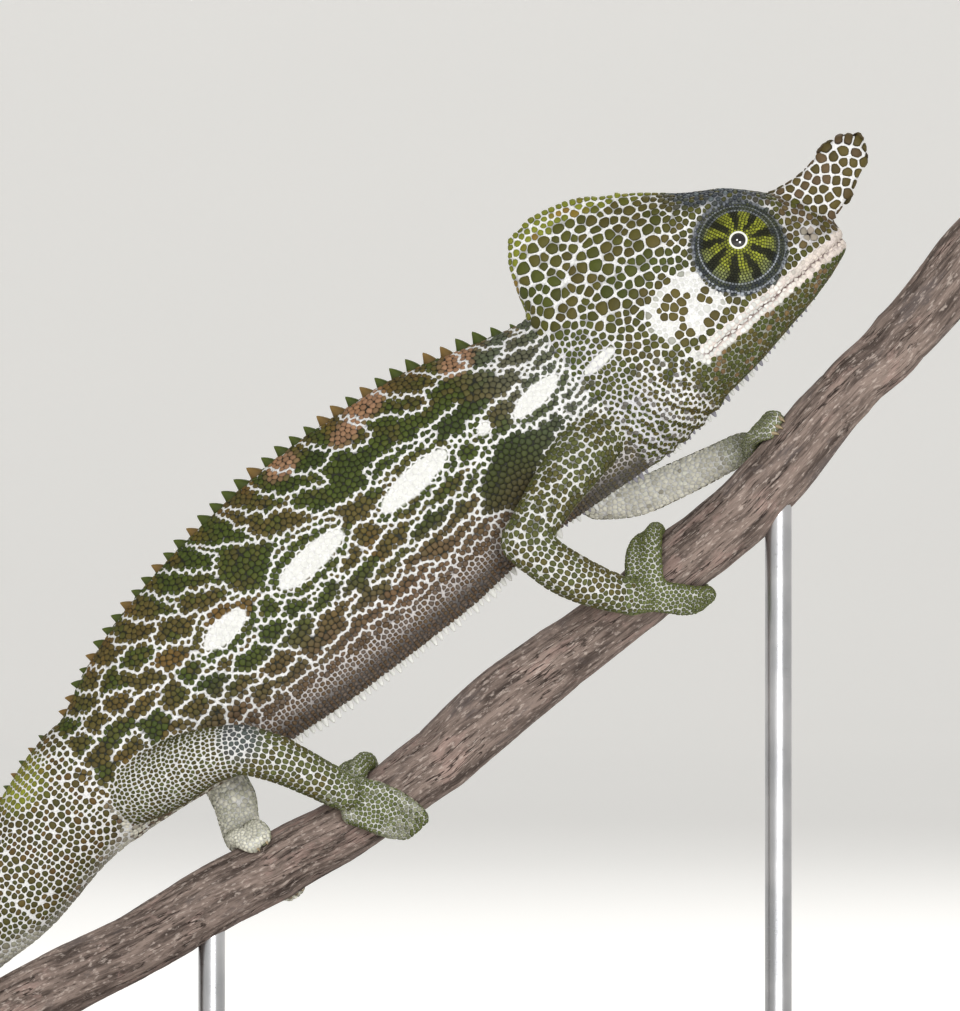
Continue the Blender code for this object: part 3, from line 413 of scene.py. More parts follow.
# The head: along, top, five pairs of half width and rise down one side, bottom.
HEAD = [
    (-25.0, 10.2, 1.6, 9.2, 4.9, 5.0, 6.2, -1.0, 5.9, -8.5, 2.8, -12.7, -13.4),
    (-23.6, 14.2, 1.2, 13.0, 4.7, 7.0, 6.6, 0.0, 6.4, -8.5, 3.0, -12.9, -13.5),
    (-22.3, 17.2, 1.0, 16.0, 4.6, 7.8, 6.9, 0.5, 6.7, -8.5, 3.1, -12.9, -13.5),
    (-20.4, 18.8, 0.9, 17.5, 4.6, 8.2, 7.2, 1.0, 6.9, -8.5, 3.2, -12.9, -13.5),
    (-17.0, 19.0, 0.8, 17.7, 4.7, 8.6, 7.4, 1.0, 7.2, -8.2, 3.3, -12.8, -13.3),
    (-12.0, 17.7, 0.9, 16.4, 5.3, 8.5, 7.4, 1.0, 7.4, -7.5, 3.6, -12.0, -12.7),
    (-6.0, 14.0, 1.2, 13.0, 5.6, 7.5, 6.4, 1.0, 7.0, -7.0, 3.6, -11.3, -12.0),
    (-1.5, 9.9, 2.2, 9.4, 5.2, 7.0, 5.4, 1.0, 6.3, -6.6, 3.4, -10.5, -11.3),
    (3.0, 6.9, 2.8, 6.5, 4.8, 5.0, 4.6, 0.0, 5.2, -6.3, 3.0, -9.8, -10.6),
    (6.5, 3.3, 2.2, 2.9, 3.6, 1.4, 3.9, -2.4, 4.1, -6.3, 2.4, -9.0, -9.7),
    (9.0, -0.3, 1.5, -0.7, 2.6, -1.8, 3.0, -4.2, 2.9, -6.4, 1.6, -8.3, -8.8),
    (10.2, -3.7, 0.9, -4.0, 1.5, -4.6, 1.7, -5.5, 1.6, -6.6, 1.0, -7.6, -8.0),
]
SNOUT = [(0.25, 0.85), (0.4, 0.6), (0.48, 0.3)]  # its round end: how far out, share of the width
MOUTH_RISE = -7.1
MOUTH_CORNER = -11.5
NOSTRIL = (7.3, -4.0)  # along, rise

# The blade on the snout: along, upper and lower rise, half thickness.
BLADE = [
    (6.5, 3.0, -4.4, 1.8), (9.0, 2.5, -4.6, 1.5), (12.0, 2.4, -4.4, 1.1), (15.0, 2.9, -3.5, 1.0),
    (17.6, 2.9, -2.2, 0.9), (19.2, 2.0, -1.1, 0.7), (19.8, 1.0, -0.2, 0.35),
]
BLADE_ROUNDNESS = 0.7

# The eye turrets: a turned profile (radius, height from the head's middle plane), its aim and
# where that axis starts.
TURRET = [(5.5, 4.0), (5.5, 5.3), (5.2, 6.3), (4.6, 7.2), (3.7, 8.0), (2.7, 8.6), (1.8, 8.95),
          (1.2, 9.0)]
TURRET_AIM = {"right": (-0.05, -1.0, 0.27), "left": (0.22, 1.0, 0.02)}
EYE_ROOT = (-1.0, -1.2)

# The tail, measured from the pelvis: length, half width, half height.
TAIL_ROOT_ALONG = -100.0
TAIL_ROOT_RISE = 0.55
TAIL_PASS = (-49.0, 44.9)  # x and z where it comes by behind the branch
TAIL_PASS_PITCH = math.radians(52)
TAIL_LENGTH = 146.0
TAIL_GIRTH = [
    (0.0, 5.7, 8.6), (8.0, 5.4, 7.6), (17.0, 4.9, 6.9), (28.0, 4.3, 5.6), (42.0, 3.7, 4.4),
    (60.0, 3.1, 3.5), (80.0, 2.5, 2.8), (105.0, 1.8, 2.0), (130.0, 1.1, 1.2), (146.0, 0.6, 0.6),
]
TAIL_WOUND_FROM = -56.4  # x of the branch's frame that the turns are measured in
TAIL_TURN_GAP = 3.0  # between one turn and the next
TAIL_CLEARANCE = 1.0  # between the tail and the branch
TAIL_SETTLE = 20.0
TAIL_BEND = 0.12
TAIL_CLOSING = 0.35
TAIL_OPENING = 0.3
TAIL_PATH_STEP = 0.5

# The legs, as (x, y, z, radius): to the elbow or knee, and from there to the wrist or ankle.
LEGS = {
    "front_right": (
        [(21.5, -3.5, 99.5, 3.8), (19.0, -6.6, 96.5, 3.7), (15.4, -9.0, 91.4, 3.2),
         (12.3, -10.2, 86.4, 2.9)],
        [(12.3, -10.2, 86.4, 2.9), (17.0, -9.9, 83.0, 3.0), (21.4, -8.8, 81.0, 2.7),
         (25.2, -7.2, 79.8, 2.3)],
    ),
    "front_left": (
        [(21.5, 3.5, 99.5, 3.8), (20.2, 7.2, 97.0, 3.5), (19.8, 9.8, 93.8, 3.0),
         (21.4, 10.9, 91.3, 2.5)],
        [(21.4, 10.9, 91.3, 2.5), (26.4, 10.6, 91.9, 2.5), (33.0, 9.2, 94.8, 2.4),
         (39.0, 6.8, 97.8, 2.1)],
    ),
    "hind_right": (
        [(-34.0, -3.0, 57.0, 4.6), (-30.0, -5.6, 58.6, 4.3), (-25.6, -8.2, 60.8, 3.7),
         (-21.2, -9.4, 61.8, 3.2)],
        [(-21.2, -9.4, 61.8, 3.2), (-17.0, -9.4, 60.6, 3.0), (-12.8, -8.4, 58.6, 2.7),
         (-9.2, -6.9, 56.7, 2.5)],
    ),
    "hind_left": (
        [(-34.0, 3.0, 57.5, 4.5), (-32.8, 6.4, 60.2, 4.1), (-31.6, 9.2, 63.0, 3.4),
         (-30.4, 11.2, 65.2, 3.0)],
        [(-30.4, 11.2, 65.2, 3.0), (-27.2, 10.4, 61.8, 2.9), (-24.2, 8.0, 58.4, 2.9),
         (-22.4, 5.2, 55.4, 2.9)],
    ),
}
LEG_FLATNESS = 0.92
TOE_THINS = 0.28  # share of its thickness that a toe loses up to its tip
TOES_SPREAD = 0.12
TOES_OVERLAP = 1.18
TOE_PAD = (0.93, 0.16, 0.12)  # the swelling under the claw: place along the toe, swell, width

# Each foot holds the branch at one x: a palm and two bundles of toes, as (mm along the branch,
# degrees round it from the near side over the top, half width), and the toes in each bundle.
FEET = {
    "front_right": (26.9, 1.6, (0.2, 2, 2.5), [
        (2, [(0.6, 6, 2.2), (2.6, 38, 2.2), (4.4, 70, 2.1), (5.4, 96, 1.8), (5.8, 112, 1.3)]),
        (3, [(0.6, -4, 1.9), (2.6, -32, 1.8), (4.3, -62, 1.7), (5.2, -84, 1.5), (5.6, -98, 1.1)]),
    ]),
    "front_left": (43.6, 1.4, (-0.8, 146, 2.2), [
        (2, [(-0.6, 152, 2.0), (0.0, 174, 2.0), (0.6, 196, 1.8), (1.0, 214, 1.6), (1.2, 226, 1.1)]),
        (3, [(-0.4, 140, 2.1), (0.6, 116, 2.2), (1.6, 92, 2.2), (2.4, 70, 2.0), (2.9, 54, 1.5)]),
    ]),
    "hind_right": (-7.4, 1.7, (0.6, 32, 2.6), [
        (3, [(0.8, 22, 2.8), (2.3, 4, 2.9), (3.7, -20, 2.8), (4.7, -44, 2.4), (5.2, -62, 1.8)]),
        (2, [(0.8, 44, 1.9), (2.2, 66, 1.9), (3.4, 88, 1.8), (4.0, 108, 1.6), (4.2, 122, 1.1)]),
    ]),
    "hind_left": (-20.0, 1.6, (1.0, 124, 2.5), [
        (3, [(1.0, 134, 2.3), (2.0, 160, 2.3), (2.8, 188, 2.1), (3.3, 214, 1.8), (3.6, 232, 1.3)]),
        (2, [(1.2, 116, 2.3), (1.6, 98, 2.3), (2.0, 80, 2.2), (2.4, 62, 2.0), (2.7, 48, 1.5)]),
    ]),
}
FOLD_MIDDLE = (-10.8, -5.4)
FIRST_FOLD = 6.3
FOLD_APART = 0.9
THROAT_LEAN = (0.5, 11.0)  # the throat's front edge leans back by this much over this rise
KINDS = ("head", "torso", "tail", "blade", "turret", "limb", "foot")


def body_point(along, rise, across=0.0):
    """A point of the body frame in the object's frame: the frame turned up by the pitch."""
    x = EYES_X + along * math.cos(BODY_PITCH) - rise * math.sin(BODY_PITCH)
    z = EYES_Z + along * math.sin(BODY_PITCH) + rise * math.cos(BODY_PITCH)
    return np.stack(np.broadcast_arrays(x, across, z), axis=-1)


def along_and_rise(points):
    """The body frame's two numbers for points of the object's frame."""
    x, z = points[..., 0] - EYES_X, points[..., 2] - EYES_Z
    c, s = math.cos(BODY_PITCH), math.sin(BODY_PITCH)
    return x * c + z * s, z * c - x * s


def torso_rings(along, sides=96):
    """Ovals with a narrow ridge on the back: across = half * cos^n, rise = waist + height * sin."""
    inward = np.array([-SCALE_DEPTH, SCALE_DEPTH, -SCALE_DEPTH])[:, None, None]
    back, under, half = smooth_at(TORSO, along).T[:, :, None] + inward
    waist = under + (back - under) * TORSO_WAIST
    turn = around(sides)
    c, s = np.cos(turn), np.sin(turn)
    across = half * np.sign(c) * np.abs(c) ** (1 + RIDGE_SHARPNESS * np.maximum(s, 0))
    rise = waist + np.where(s > 0, (back - waist) * s, (waist - under) * s)
    return body_point(np.asarray(along)[:, None], rise, across)


def head_rings(rows=96, sides=72):
    """Closed curves through the places named for one side and their mirror images."""
    steps = np.linspace(0, len(HEAD) - 1, rows)
    along = np.interp(steps, range(len(HEAD)), [row[0] for row in HEAD])
    table = smooth_at(HEAD, along)
    pairs = table[:, 1:11].reshape(rows, 5, 2) - [SCALE_DEPTH, 0.0]
    top = np.stack([0 * along, table[:, 0] - SCALE_DEPTH], -1)[:, None]
    bottom = np.stack([0 * along, table[:, 11] + SCALE_DEPTH], -1)[:, None]
    half = np.concatenate([top, pairs, bottom], axis=1).transpose(1, 0, 2).reshape(7, -1)
    right = smooth(half, np.linspace(0, 6, sides // 2 + 1)).reshape(-1, rows, 2).transpose(1, 0, 2)
    rings = np.concatenate([right, right[:, -2:0:-1] * [-1.0, 1.0]], axis=1)
    middle = rings[-1].mean(axis=0)
    rings = np.concatenate([rings, [middle + (rings[-1] - middle) * wide for _, wide in SNOUT]])
    along = np.concatenate([along, along[-1] + [far - SCALE_DEPTH / 2 for far, _ in SNOUT]])
    return body_point(along[:, None], rings[..., 1], rings[..., 0])


def blade_rings(rows=44, sides=40):
    """Flat ovals from the snout to the blade's tip: across = half * cos ^ roundness."""
    along = np.linspace(BLADE[0][0], BLADE[-1][0], rows)
    upper, lower, half = smooth_at(BLADE, along).T[:, :, None]
    turn = around(sides)
    rise = (upper + lower) / 2 + ((upper - lower) / 2 - SCALE_DEPTH / 2) * np.sin(turn)
    flat = np.sign(np.cos(turn)) * np.abs(np.cos(turn)) ** BLADE_ROUNDNESS
    return body_point(along[:, None], rise, (half - SCALE_DEPTH / 2) * flat)


def aim_frame(side):
    """An eye's own directions: out along its aim, level, and up."""
    out = unit(np.array(TURRET_AIM[side]))
    level = unit(np.cross(out, [0.0, 0.0, 1.0]))
    return out, level, np.cross(level, out)


def turned(profile, side, sides=72):
    """A profile of (radius, height) turned round an eye's axis, from the middle of the head."""
    out, level, up = aim_frame(side)
    turn = around(sides)[None, :, None]
    radius, height = np.asarray(profile, float).T[:, :, None, None]
    return body_point(*EYE_ROOT) + out * height + (np.cos(turn) * level + np.sin(turn) * up) * radius


def turret_profile(steps):
    """A turret's profile, smooth and under the depth of its scales."""
    return smooth(np.array(TURRET) - [0.0, SCALE_DEPTH], np.linspace(0, len(TURRET) - 1, steps))


def run_along(line):
    """The length along a line of points, at each of them: the sum of the steps so far."""
    return np.concatenate([[0.0], np.cumsum(np.linalg.norm(np.diff(line, axis=0), axis=1))])


def tail_path():
    """The tail's middle line and up directions: first a curve from the pelvis to the pass behind
    the branch, then round and round the branch. At each step its distance from the branch closes
    to its own thickness, its run along the branch falls to a slow pitch, and the rest goes round."""
    step = TAIL_PATH_STEP
    start, end = body_point(TAIL_ROOT_ALONG, TAIL_ROOT_RISE), np.array([TAIL_PASS[0], 0.0, TAIL_PASS[1]])
    chord = np.linalg.norm(end - start)
    leaving = np.array([-math.cos(BODY_PITCH), 0.0, -math.sin(BODY_PITCH)])
    heading = np.array([-math.cos(TAIL_PASS_PITCH), 0.0, -math.sin(TAIL_PASS_PITCH)])
    steps = int(chord / step) + 1
    t = np.linspace(0, 1, steps)[:, None]
    points = list((2 * t ** 3 - 3 * t ** 2 + 1) * start + (t ** 3 - 2 * t ** 2 + t) * leaving * chord
                  + (3 * t ** 2 - 2 * t ** 3) * end + (t ** 3 - t ** 2) * heading * chord)
    ups = [np.cross([0.0, 1.0, 0.0], heading)] * steps
    foot, rising, radius = branch_frame(TAIL_WOUND_FROM)
    near, top = np.array([0.0, -1.0, 0.0]), np.array([-rising[2], 0.0, rising[0]])
    run, distance, turn = np.dot(foot - end, rising), np.dot(end - foot, top), math.pi / 2
    run_share, close_share = -np.dot(heading, rising), np.dot(heading, top)
    for length in np.arange((steps - 1) * step, TAIL_LENGTH, step) + step:
        wide = smooth_at(TAIL_GIRTH, [length])[0][0]
        aim = radius + TAIL_CLEARANCE + wide
        pitch = (2 * wide + TAIL_TURN_GAP) / (2 * math.pi * aim)
        settle = min(1.0, (length - chord) / TAIL_SETTLE)
        run_share += (pitch - run_share) * settle * settle * (3 - 2 * settle) * TAIL_BEND
        close_share = max(close_share, (aim - distance) * TAIL_BEND)
        close = (aim - distance) * TAIL_OPENING
        if distance > aim:
            close = max(min(close_share, 0.0), (aim - distance) * TAIL_CLOSING)
        run += run_share * step
        distance += close * step
        turn += math.sqrt(max(0.0, 1 - run_share ** 2 - close ** 2)) * step / distance
        ups.append(near * math.cos(turn) + top * math.sin(turn))
        points.append(foot - rising * run + ups[-1] * distance)
    return np.array(points), np.array(ups)


def branch_frame(x):
    """The branch's middle, rising direction and radius at an x."""
    z, radius = smooth_at(BRANCH_LINE, [x])[0]
    ahead, behind = smooth_at(BRANCH_LINE, [x + 0.5, x - 0.5])[:, 0]
    return np.array([x, 0.0, z]), unit(np.array([1.0, 0.0, ahead - behind])), radius


def round_branch(place, along, degrees, distance):
    """Points beside the branch, and which way is out: near side 0, top 90, far side 180 degrees."""
    middle, rising, _ = place
    top = np.array([-rising[2], 0.0, rising[0]])
    turn = np.radians(degrees)[:, None]
    out = np.array([0.0, -1.0, 0.0]) * np.cos(turn) + top * np.sin(turn)
    return middle + rising * np.asarray(along)[:, None] + out * np.asarray(distance)[:, None], out


def domed_tube(path, ups, widths, heights, sides=28, steps=6):
    """Rings along a path, with a dome of shrinking rings at each end: reach * sin, size * cos."""
    rings = rings_along(path, ups, widths, heights, sides)
    forward = unit(np.gradient(np.asarray(path, float), axis=0))
    turn = np.linspace(0, math.radians(84), steps + 1)[1:, None, None]
    ends = []
    for index, sign in ((0, -1.0), (-1, 1.0)):
        reach = sign * forward[index] * min(widths[index], heights[index])
        ends.append(path[index] + (rings[index] - path[index]) * np.cos(turn) + reach * np.sin(turn))
    return np.concatenate([ends[0][::-1], rings, ends[1]])


def bell(values, wide):
    """1 at nothing, falling away like a bell of that width."""
    return np.exp(-(np.asarray(values, float) / wide) ** 2)


def limb_tubes(place, steps=28):
    """Upper and lower limb, the palm and its toes, each a domed tube, with each toe's tip."""
    up = np.array([0.2, -1.0 if place.endswith("right") else 1.0, 0.3])
    limbs = []
    for line in LEGS[place]:
        rows = smooth(line, np.linspace(0, len(line) - 1, steps))
        radius = rows[:, 3] - SCALE_DEPTH
        limbs.append(domed_tube(rows[:, :3], up, radius, radius * LEG_FLATNESS))
    x, thick, palm, bundles = FEET[place]
    middle_frame = branch_frame(x)
    shelf = middle_frame[2] + 0.2
    (middle,), (out,) = round_branch(middle_frame, [palm[0]], [palm[1]], [shelf + thick])
    wrist, heading = rows[-1, :3], unit(rows[-1, :3] - rows[-2, :3])
    line = np.array([wrist - heading * 1.5, wrist, (wrist + middle) / 2 + out * 0.2, middle,
                     middle + heading * palm[2] * 0.5])
    wide = np.array([rows[-1, 3], rows[-1, 3], (rows[-1, 3] + palm[2]) / 2, palm[2], palm[2] * 0.8])
    high = np.array([rows[-1, 3] * LEG_FLATNESS] * 2 + [(rows[-1, 3] + thick) / 2, thick, thick * 0.8])
    share = np.linspace(0, 4, 24)
    line, wide, high = smooth(line, share), *smooth(np.stack([wide, high], 1), share).T
    ups = unit(up * (1 - share[:, None] / 4) + out * share[:, None] / 4)
    feet = [domed_tube(line, ups, wide - SCALE_DEPTH, high - SCALE_DEPTH)]
    tips = []
    for count, points in bundles:
        rows = smooth(points, np.linspace(0, len(points) - 1, 22))
        for number in range(count):
            offset = (number - (count - 1) / 2) / count
            t = np.linspace(0, 1, len(rows))
            toe = thick * (1 - TOE_THINS * t)
            reach = 1.0 - 0.05 * abs(offset) * t
            path, ups = round_branch(middle_frame, rows[:, 0], palm[1] + (rows[:, 1] - palm[1]) * reach,
                                     middle_frame[2] + toe * 0.92)
            side = unit(np.cross(np.gradient(path, axis=0), ups))
            path = path + side * (offset * 2 * rows[:, 2] * (1 + TOES_SPREAD * t))[:, None]
            swell = 1 + TOE_PAD[1] * bell(t - TOE_PAD[0], TOE_PAD[2])
            half = rows[:, 2] / count * TOES_OVERLAP * swell - SCALE_DEPTH * 0.6
            feet.append(domed_tube(path, ups, half, (toe - SCALE_DEPTH) * swell, 20, 5))
            tips.append((path[-1], unit(path[-1] - path[-3]), ups[-1]))
    return limbs, feet, tips


forms = [("head", 0, head_rings()), ("torso", 0, torso_rings(np.linspace(-24.0, -101.0, 150))),
         ("blade", 0, blade_rings())]
for side in TURRET_AIM:
    forms.append(("turret", 0, turned(turret_profile(36), side)))
tail_line, tail_ups = tail_path()
tail_run = run_along(tail_line)
tail_wide, tail_high = smooth_at(TAIL_GIRTH, tail_run).T - SCALE_DEPTH
forms.append(("tail", 0, domed_tube(tail_line, tail_ups, tail_wide, tail_high, 44, 3)))
toe_tips = []
for leg, place in enumerate(LEGS):
    limbs, feet, tips = limb_tubes(place)
    toe_tips += tips
    forms += [("limb", leg, rings) for rings in limbs] + [("foot", leg, rings) for rings in feet]


def ramp(values, low, high):
    """0 under low, 1 over high, smooth between."""
    t = np.clip((np.asarray(values, float) - low) / (high - low), 0, 1)
    return t * t * (3 - 2 * t)


def tree_of(points):
    """A search tree that finds the points nearest to a place."""
    tree = KDTree(len(points))
    for number, point in enumerate(points):
        tree.insert(point, number)
    tree.balance()
    return tree


def read_mesh(mesh):
    """A mesh's points and outward directions in millimetres, and its triangles."""
    count = len(mesh.vertices)
    points, normals = np.zeros(count * 3), np.zeros(count * 3)
    mesh.vertices.foreach_get("co", points)
    mesh.vertices.foreach_get("normal", normals)
    mesh.calc_loop_triangles()
    triangles = np.zeros(len(mesh.loop_triangles) * 3, np.int64)
    mesh.loop_triangles.foreach_get("vertices", triangles)
    return points.reshape(-1, 3) / MM, normals.reshape(-1, 3), triangles.reshape(-1, 3)


def joined_forms(many_rings):
    """The points and faces of several stacks of rings, as one list each."""
    points, faces, start = [], [], 0
    for rings in many_rings:
        points.append(rings.reshape(-1, 3))
        faces += ring_faces(*rings.shape[:2], start)
        start += rings.shape[0] * rings.shape[1]
    return np.concatenate(points), faces


def fused_skin(forms):
    """All forms made one closed surface of small even faces, then smoothed."""
    rough = new_piece("rough_skin", *joined_forms([rings for _, _, rings in forms]), None)
    fuse = rough.modifiers.new("fuse", "REMESH")
    fuse.mode = "VOXEL"
    fuse.voxel_size = SKIN_GRAIN * MM
    soften = rough.modifiers.new("soften", "SMOOTH")
    soften.factor = 0.5
    soften.iterations = SKIN_SMOOTHING
    bpy.context.view_layer.update()
    mesh = bpy.data.meshes.new_from_object(rough.evaluated_get(bpy.context.evaluated_depsgraph_get()))
    bpy.data.objects.remove(rough)
    mesh.name = "skin"
    return mesh


def form_places(forms):
    """Every point of the forms with its form, row, column and the steps to the next ones."""
    found = []
    for number, (_, _, rings) in enumerate(forms):
        rows, columns = rings.shape[:2]
        row, column = np.meshgrid(np.arange(rows), np.arange(columns), indexing="ij")
        onward = np.gradient(rings, axis=0)
        round_it = (np.roll(rings, -1, axis=1) - np.roll(rings, 1, axis=1)) / 2
        found.append(np.concatenate([rings, onward, round_it, np.full((rows, columns, 1), float(number)),
                                     row[..., None], column[..., None]], axis=-1).reshape(-1, 12))
    return np.concatenate(found)


class Spots:
    """Where points of the skin lie: on which form, how far along it and how far round it."""

    def __init__(self, points, normals):
        self.points, self.normals = points, normals
        near = places[[place_tree.find(point)[1] for point in points]]
        off = points - near[:, 0:3]
        row_step, turn_step = (
            np.clip(np.sum(off * step, axis=1) / (np.sum(step ** 2, axis=1) + 1e-9), -1, 1)
            for step in (near[:, 3:6], near[:, 6:9]))
        self.form = near[:, 9].astype(int)
        rows, columns = form_sizes[self.form].T
        self.row = np.clip((near[:, 10] + row_step) / (rows - 1), 0, 1)
        self.turn = ((near[:, 11] + turn_step) / columns) % 1.0
        self.run = self.row * form_lengths[self.form]
        self.onward = unit(near[:, 3:6] + 1e-9)
        self.kind = form_kinds[self.form]
        self.leg = form_legs[self.form]
        self.along, self.rise = along_and_rise(points)
        self.across = points[:, 1]
        back, under, _ = smooth_at(TORSO, self.along).T
        self.height = (self.rise - under) / (back - under)

    def on(self, *kinds):
        """Which of the points lie on forms of these kinds."""
        return np.isin(self.kind, [KINDS.index(kind) for kind in kinds])

    def from_eye(self):
        """Distance from the nearer eye's axis, height up that axis and the angle round it."""
        off = self.points - body_point(*EYE_ROOT)
        found = {}
        for side in TURRET_AIM:
            out, level, up = (off @ way for way in aim_frame(side))
            found[side] = np.stack([np.hypot(level, up), out, np.arctan2(up, level)])
        return np.where(self.across < 0, found["right"], found["left"])


def fold_radius(spots):
    """The throat's folds are arcs round a place behind the mouth's corner: hypot of the offsets."""
    return np.hypot(spots.along - FOLD_MIDDLE[0], spots.rise - FOLD_MIDDLE[1])


def behind_throat(along, rise, end):
    """Share of a place that lies behind the throat's leaning front edge."""
    return 1 - ramp(along + THROAT_LEAN[0] * (rise + THROAT_LEAN[1]), -13.0, end)


def mouth_bend(along):
    """The mouth's line wavers a little: a low wave along the head."""
    return 0.06 * np.sin(along * 1.3)


def over_mouth(along, rise):
    """Rise over the mouth's line."""
    return rise - MOUTH_RISE - mouth_bend(along)


def from_nostril(along, rise, flat=1.0):
    """Distance from the nostril, hypot of the offsets, with the rise stretched."""
    return np.hypot(along - NOSTRIL[0], (rise - NOSTRIL[1]) * flat)


def skin_relief(spots):
    """How far the skin is moved out, as a sum of folds: the mouth's slit between two lips, the
    nostril's pit and rim, rings round each eye, a brow over it, and soft folds on the throat."""
    head = spots.on("head") * 1.0
    along, rise = spots.along, spots.rise
    from_mouth = over_mouth(along, rise)
    in_mouth = head * ramp(along, MOUTH_CORNER, MOUTH_CORNER + 2.0)
    moved = in_mouth * (-0.42 * bell(from_mouth, 0.3) + 0.14 * bell(np.abs(from_mouth) - 0.8, 0.45))
    nostril = from_nostril(along, rise, 1.2)
    moved += head * (-0.45 * bell(nostril, 0.42) + 0.16 * bell(nostril - 0.95, 0.35))
    radius, height, turn = spots.from_eye()
    rings = ramp(radius, 4.5, 5.0) * (1 - ramp(radius, 5.9, 6.4)) * (height > 1.0)
    moved += rings * 0.09 * np.cos(2 * math.pi * (radius - 4.6) / 0.62)
    moved += head * 0.34 * bell(radius - 6.5, 0.6) * ramp(np.sin(turn), 0.2, 0.7)
    fold = fold_radius(spots) - FIRST_FOLD + 0.25 * lumps(spots.points, 4.0, 11)
    throat = spots.on("head", "torso") * (1 - ramp(rise, -5.0, 0.0)) * ramp(along, -34.0, -29.0)
    throat = throat * behind_throat(along, rise, -8.0)
    folded = throat * ramp(fold, 0.0, 0.8) * (1 - ramp(fold, 7.0, 9.5))
    moved += folded * 0.18 * np.cos(math.pi * fold / FOLD_APART)
    moved += throat * -0.3 * bell(fold, 0.45)
    moved += 0.03 * lumps(spots.points, 0.9, 12)
    return moved


form_kinds = np.array([KINDS.index(kind) for kind, _, _ in forms])
form_legs = np.array([leg for _, leg, _ in forms])
is_limb = form_kinds == KINDS.index("limb")
form_upper = is_limb & ~np.roll(is_limb, 1)
form_sizes = np.array([rings.shape[:2] for _, _, rings in forms])
form_lengths = np.array([np.linalg.norm(np.diff(rings.mean(axis=1), axis=0), axis=1).sum()
                         for _, _, rings in forms])
skin_mesh = fused_skin(forms)
skin_points, skin_normals, skin_triangles = read_mesh(skin_mesh)
skin_tree = BVHTree.FromPolygons(skin_points.tolist(), skin_triangles.tolist())
places = form_places(forms)
buried = np.array([skin_tree.find_nearest(place)[3] for place in places[:, :3]])
places = places[buried < 0.5]
place_tree = tree_of(places[:, :3])
skin_spots = Spots(skin_points, skin_normals)
skin_points = skin_points + skin_normals * skin_relief(skin_spots)[:, None]
skin_mesh.vertices.foreach_set("co", (skin_points * MM).ravel())
skin_mesh.update()
skin_points, skin_normals, skin_triangles = read_mesh(skin_mesh)
skin_tree = BVHTree.FromPolygons(skin_points.tolist(), skin_triangles.tolist())
skin_spots = Spots(skin_points, skin_normals)


# ---- where the scales grow
# Scales of a chameleon don't overlap: they are beads and plates set side by side, large and
# flat on the casque, small on the belly and toes. On the flanks they stand in groups that
# narrow lines of white skin divide, and they ring the eyes in even rows.

SEED = 11
CROWDING = 0.8  # how near two scales may start, as a share of their spacing
CANDIDATES = 7.0  # places tried for each scale that the skin has room for
RELAXING = 16  # rounds that push the scales evenly apart
PUSH = 0.28  # share of the crowding that a round clears
ROOM = 1.06
ROW_HOLD = 0.55  # share of the way back to its row that a scale moves in every second round
LIMB_ROWS = 0.7
BELLY_ROWS = 0.62
# the rows along the lips: rise over the mouth, where they start, spacing
LIP_ROWS = ((0.33, 9.6, 0.62), (0.86, 9.6, 0.62), (-0.33, 9.6, 0.62), (-0.78, 9.0, 0.62))
LIPS_PAST = 1.0  # how far the rows run on past the mouth's corner
EYE_ROWS = (1.22, 5.05, 0.36)  # first ring, last ring, spacing round an eye
EYE_CLEAR = 5.1  # radius round an eye that holds its rings alone
NOSTRIL_CLEAR = 0.42
RIM_APART = 0.92  # spacing of the plates on the casque's edge
MARK_TILT = 0.06
CHEEK = (-9.4, -1.2, 5.4, 3.6)  # along, rise, half length, half height
LIPS_FROM = MOUTH_CORNER - 1.2
ROSETTES = [  # clusters of brown plates on the white cheek: along, rise, radius
    (-10.8, -0.2, 2.1), (-7.3, -1.6, 1.0), (-8.4, -4.3, 1.3), (-12.2, -3.9, 1.4), (-13.9, 2.4, 1.2),
]


def oval_at(at_along, at_rise, place, grow=0.0, tilt=MARK_TILT):
    """Distance from an oval mark's middle: 1 on its edge. Its long way rises a little forward."""
    along, rise, half_long, half_high = place
    off_along = at_along - along + tilt * (at_rise - rise)
    off_rise = at_rise - rise - tilt * (at_along - along)
    return np.hypot(off_along / (half_long + grow), off_rise / (half_high + grow))


def oval(spots, place, grow=0.0, tilt=MARK_TILT):
    """The same for the places of scales."""
    return oval_at(spots.along, spots.rise, place, grow, tilt)


def blend(*steps):
    """A base value that each (share, value) in turn replaces where its share is 1."""
    result = steps[0]
    for share, value in steps[1:]:
        result = result + (value - result) * share
    return result


def by_zone(zones, base, **values):
    """A base value that each named zone in turn replaces with its own."""
    return blend(base, *((zones[name], value) for name, value in values.items()))


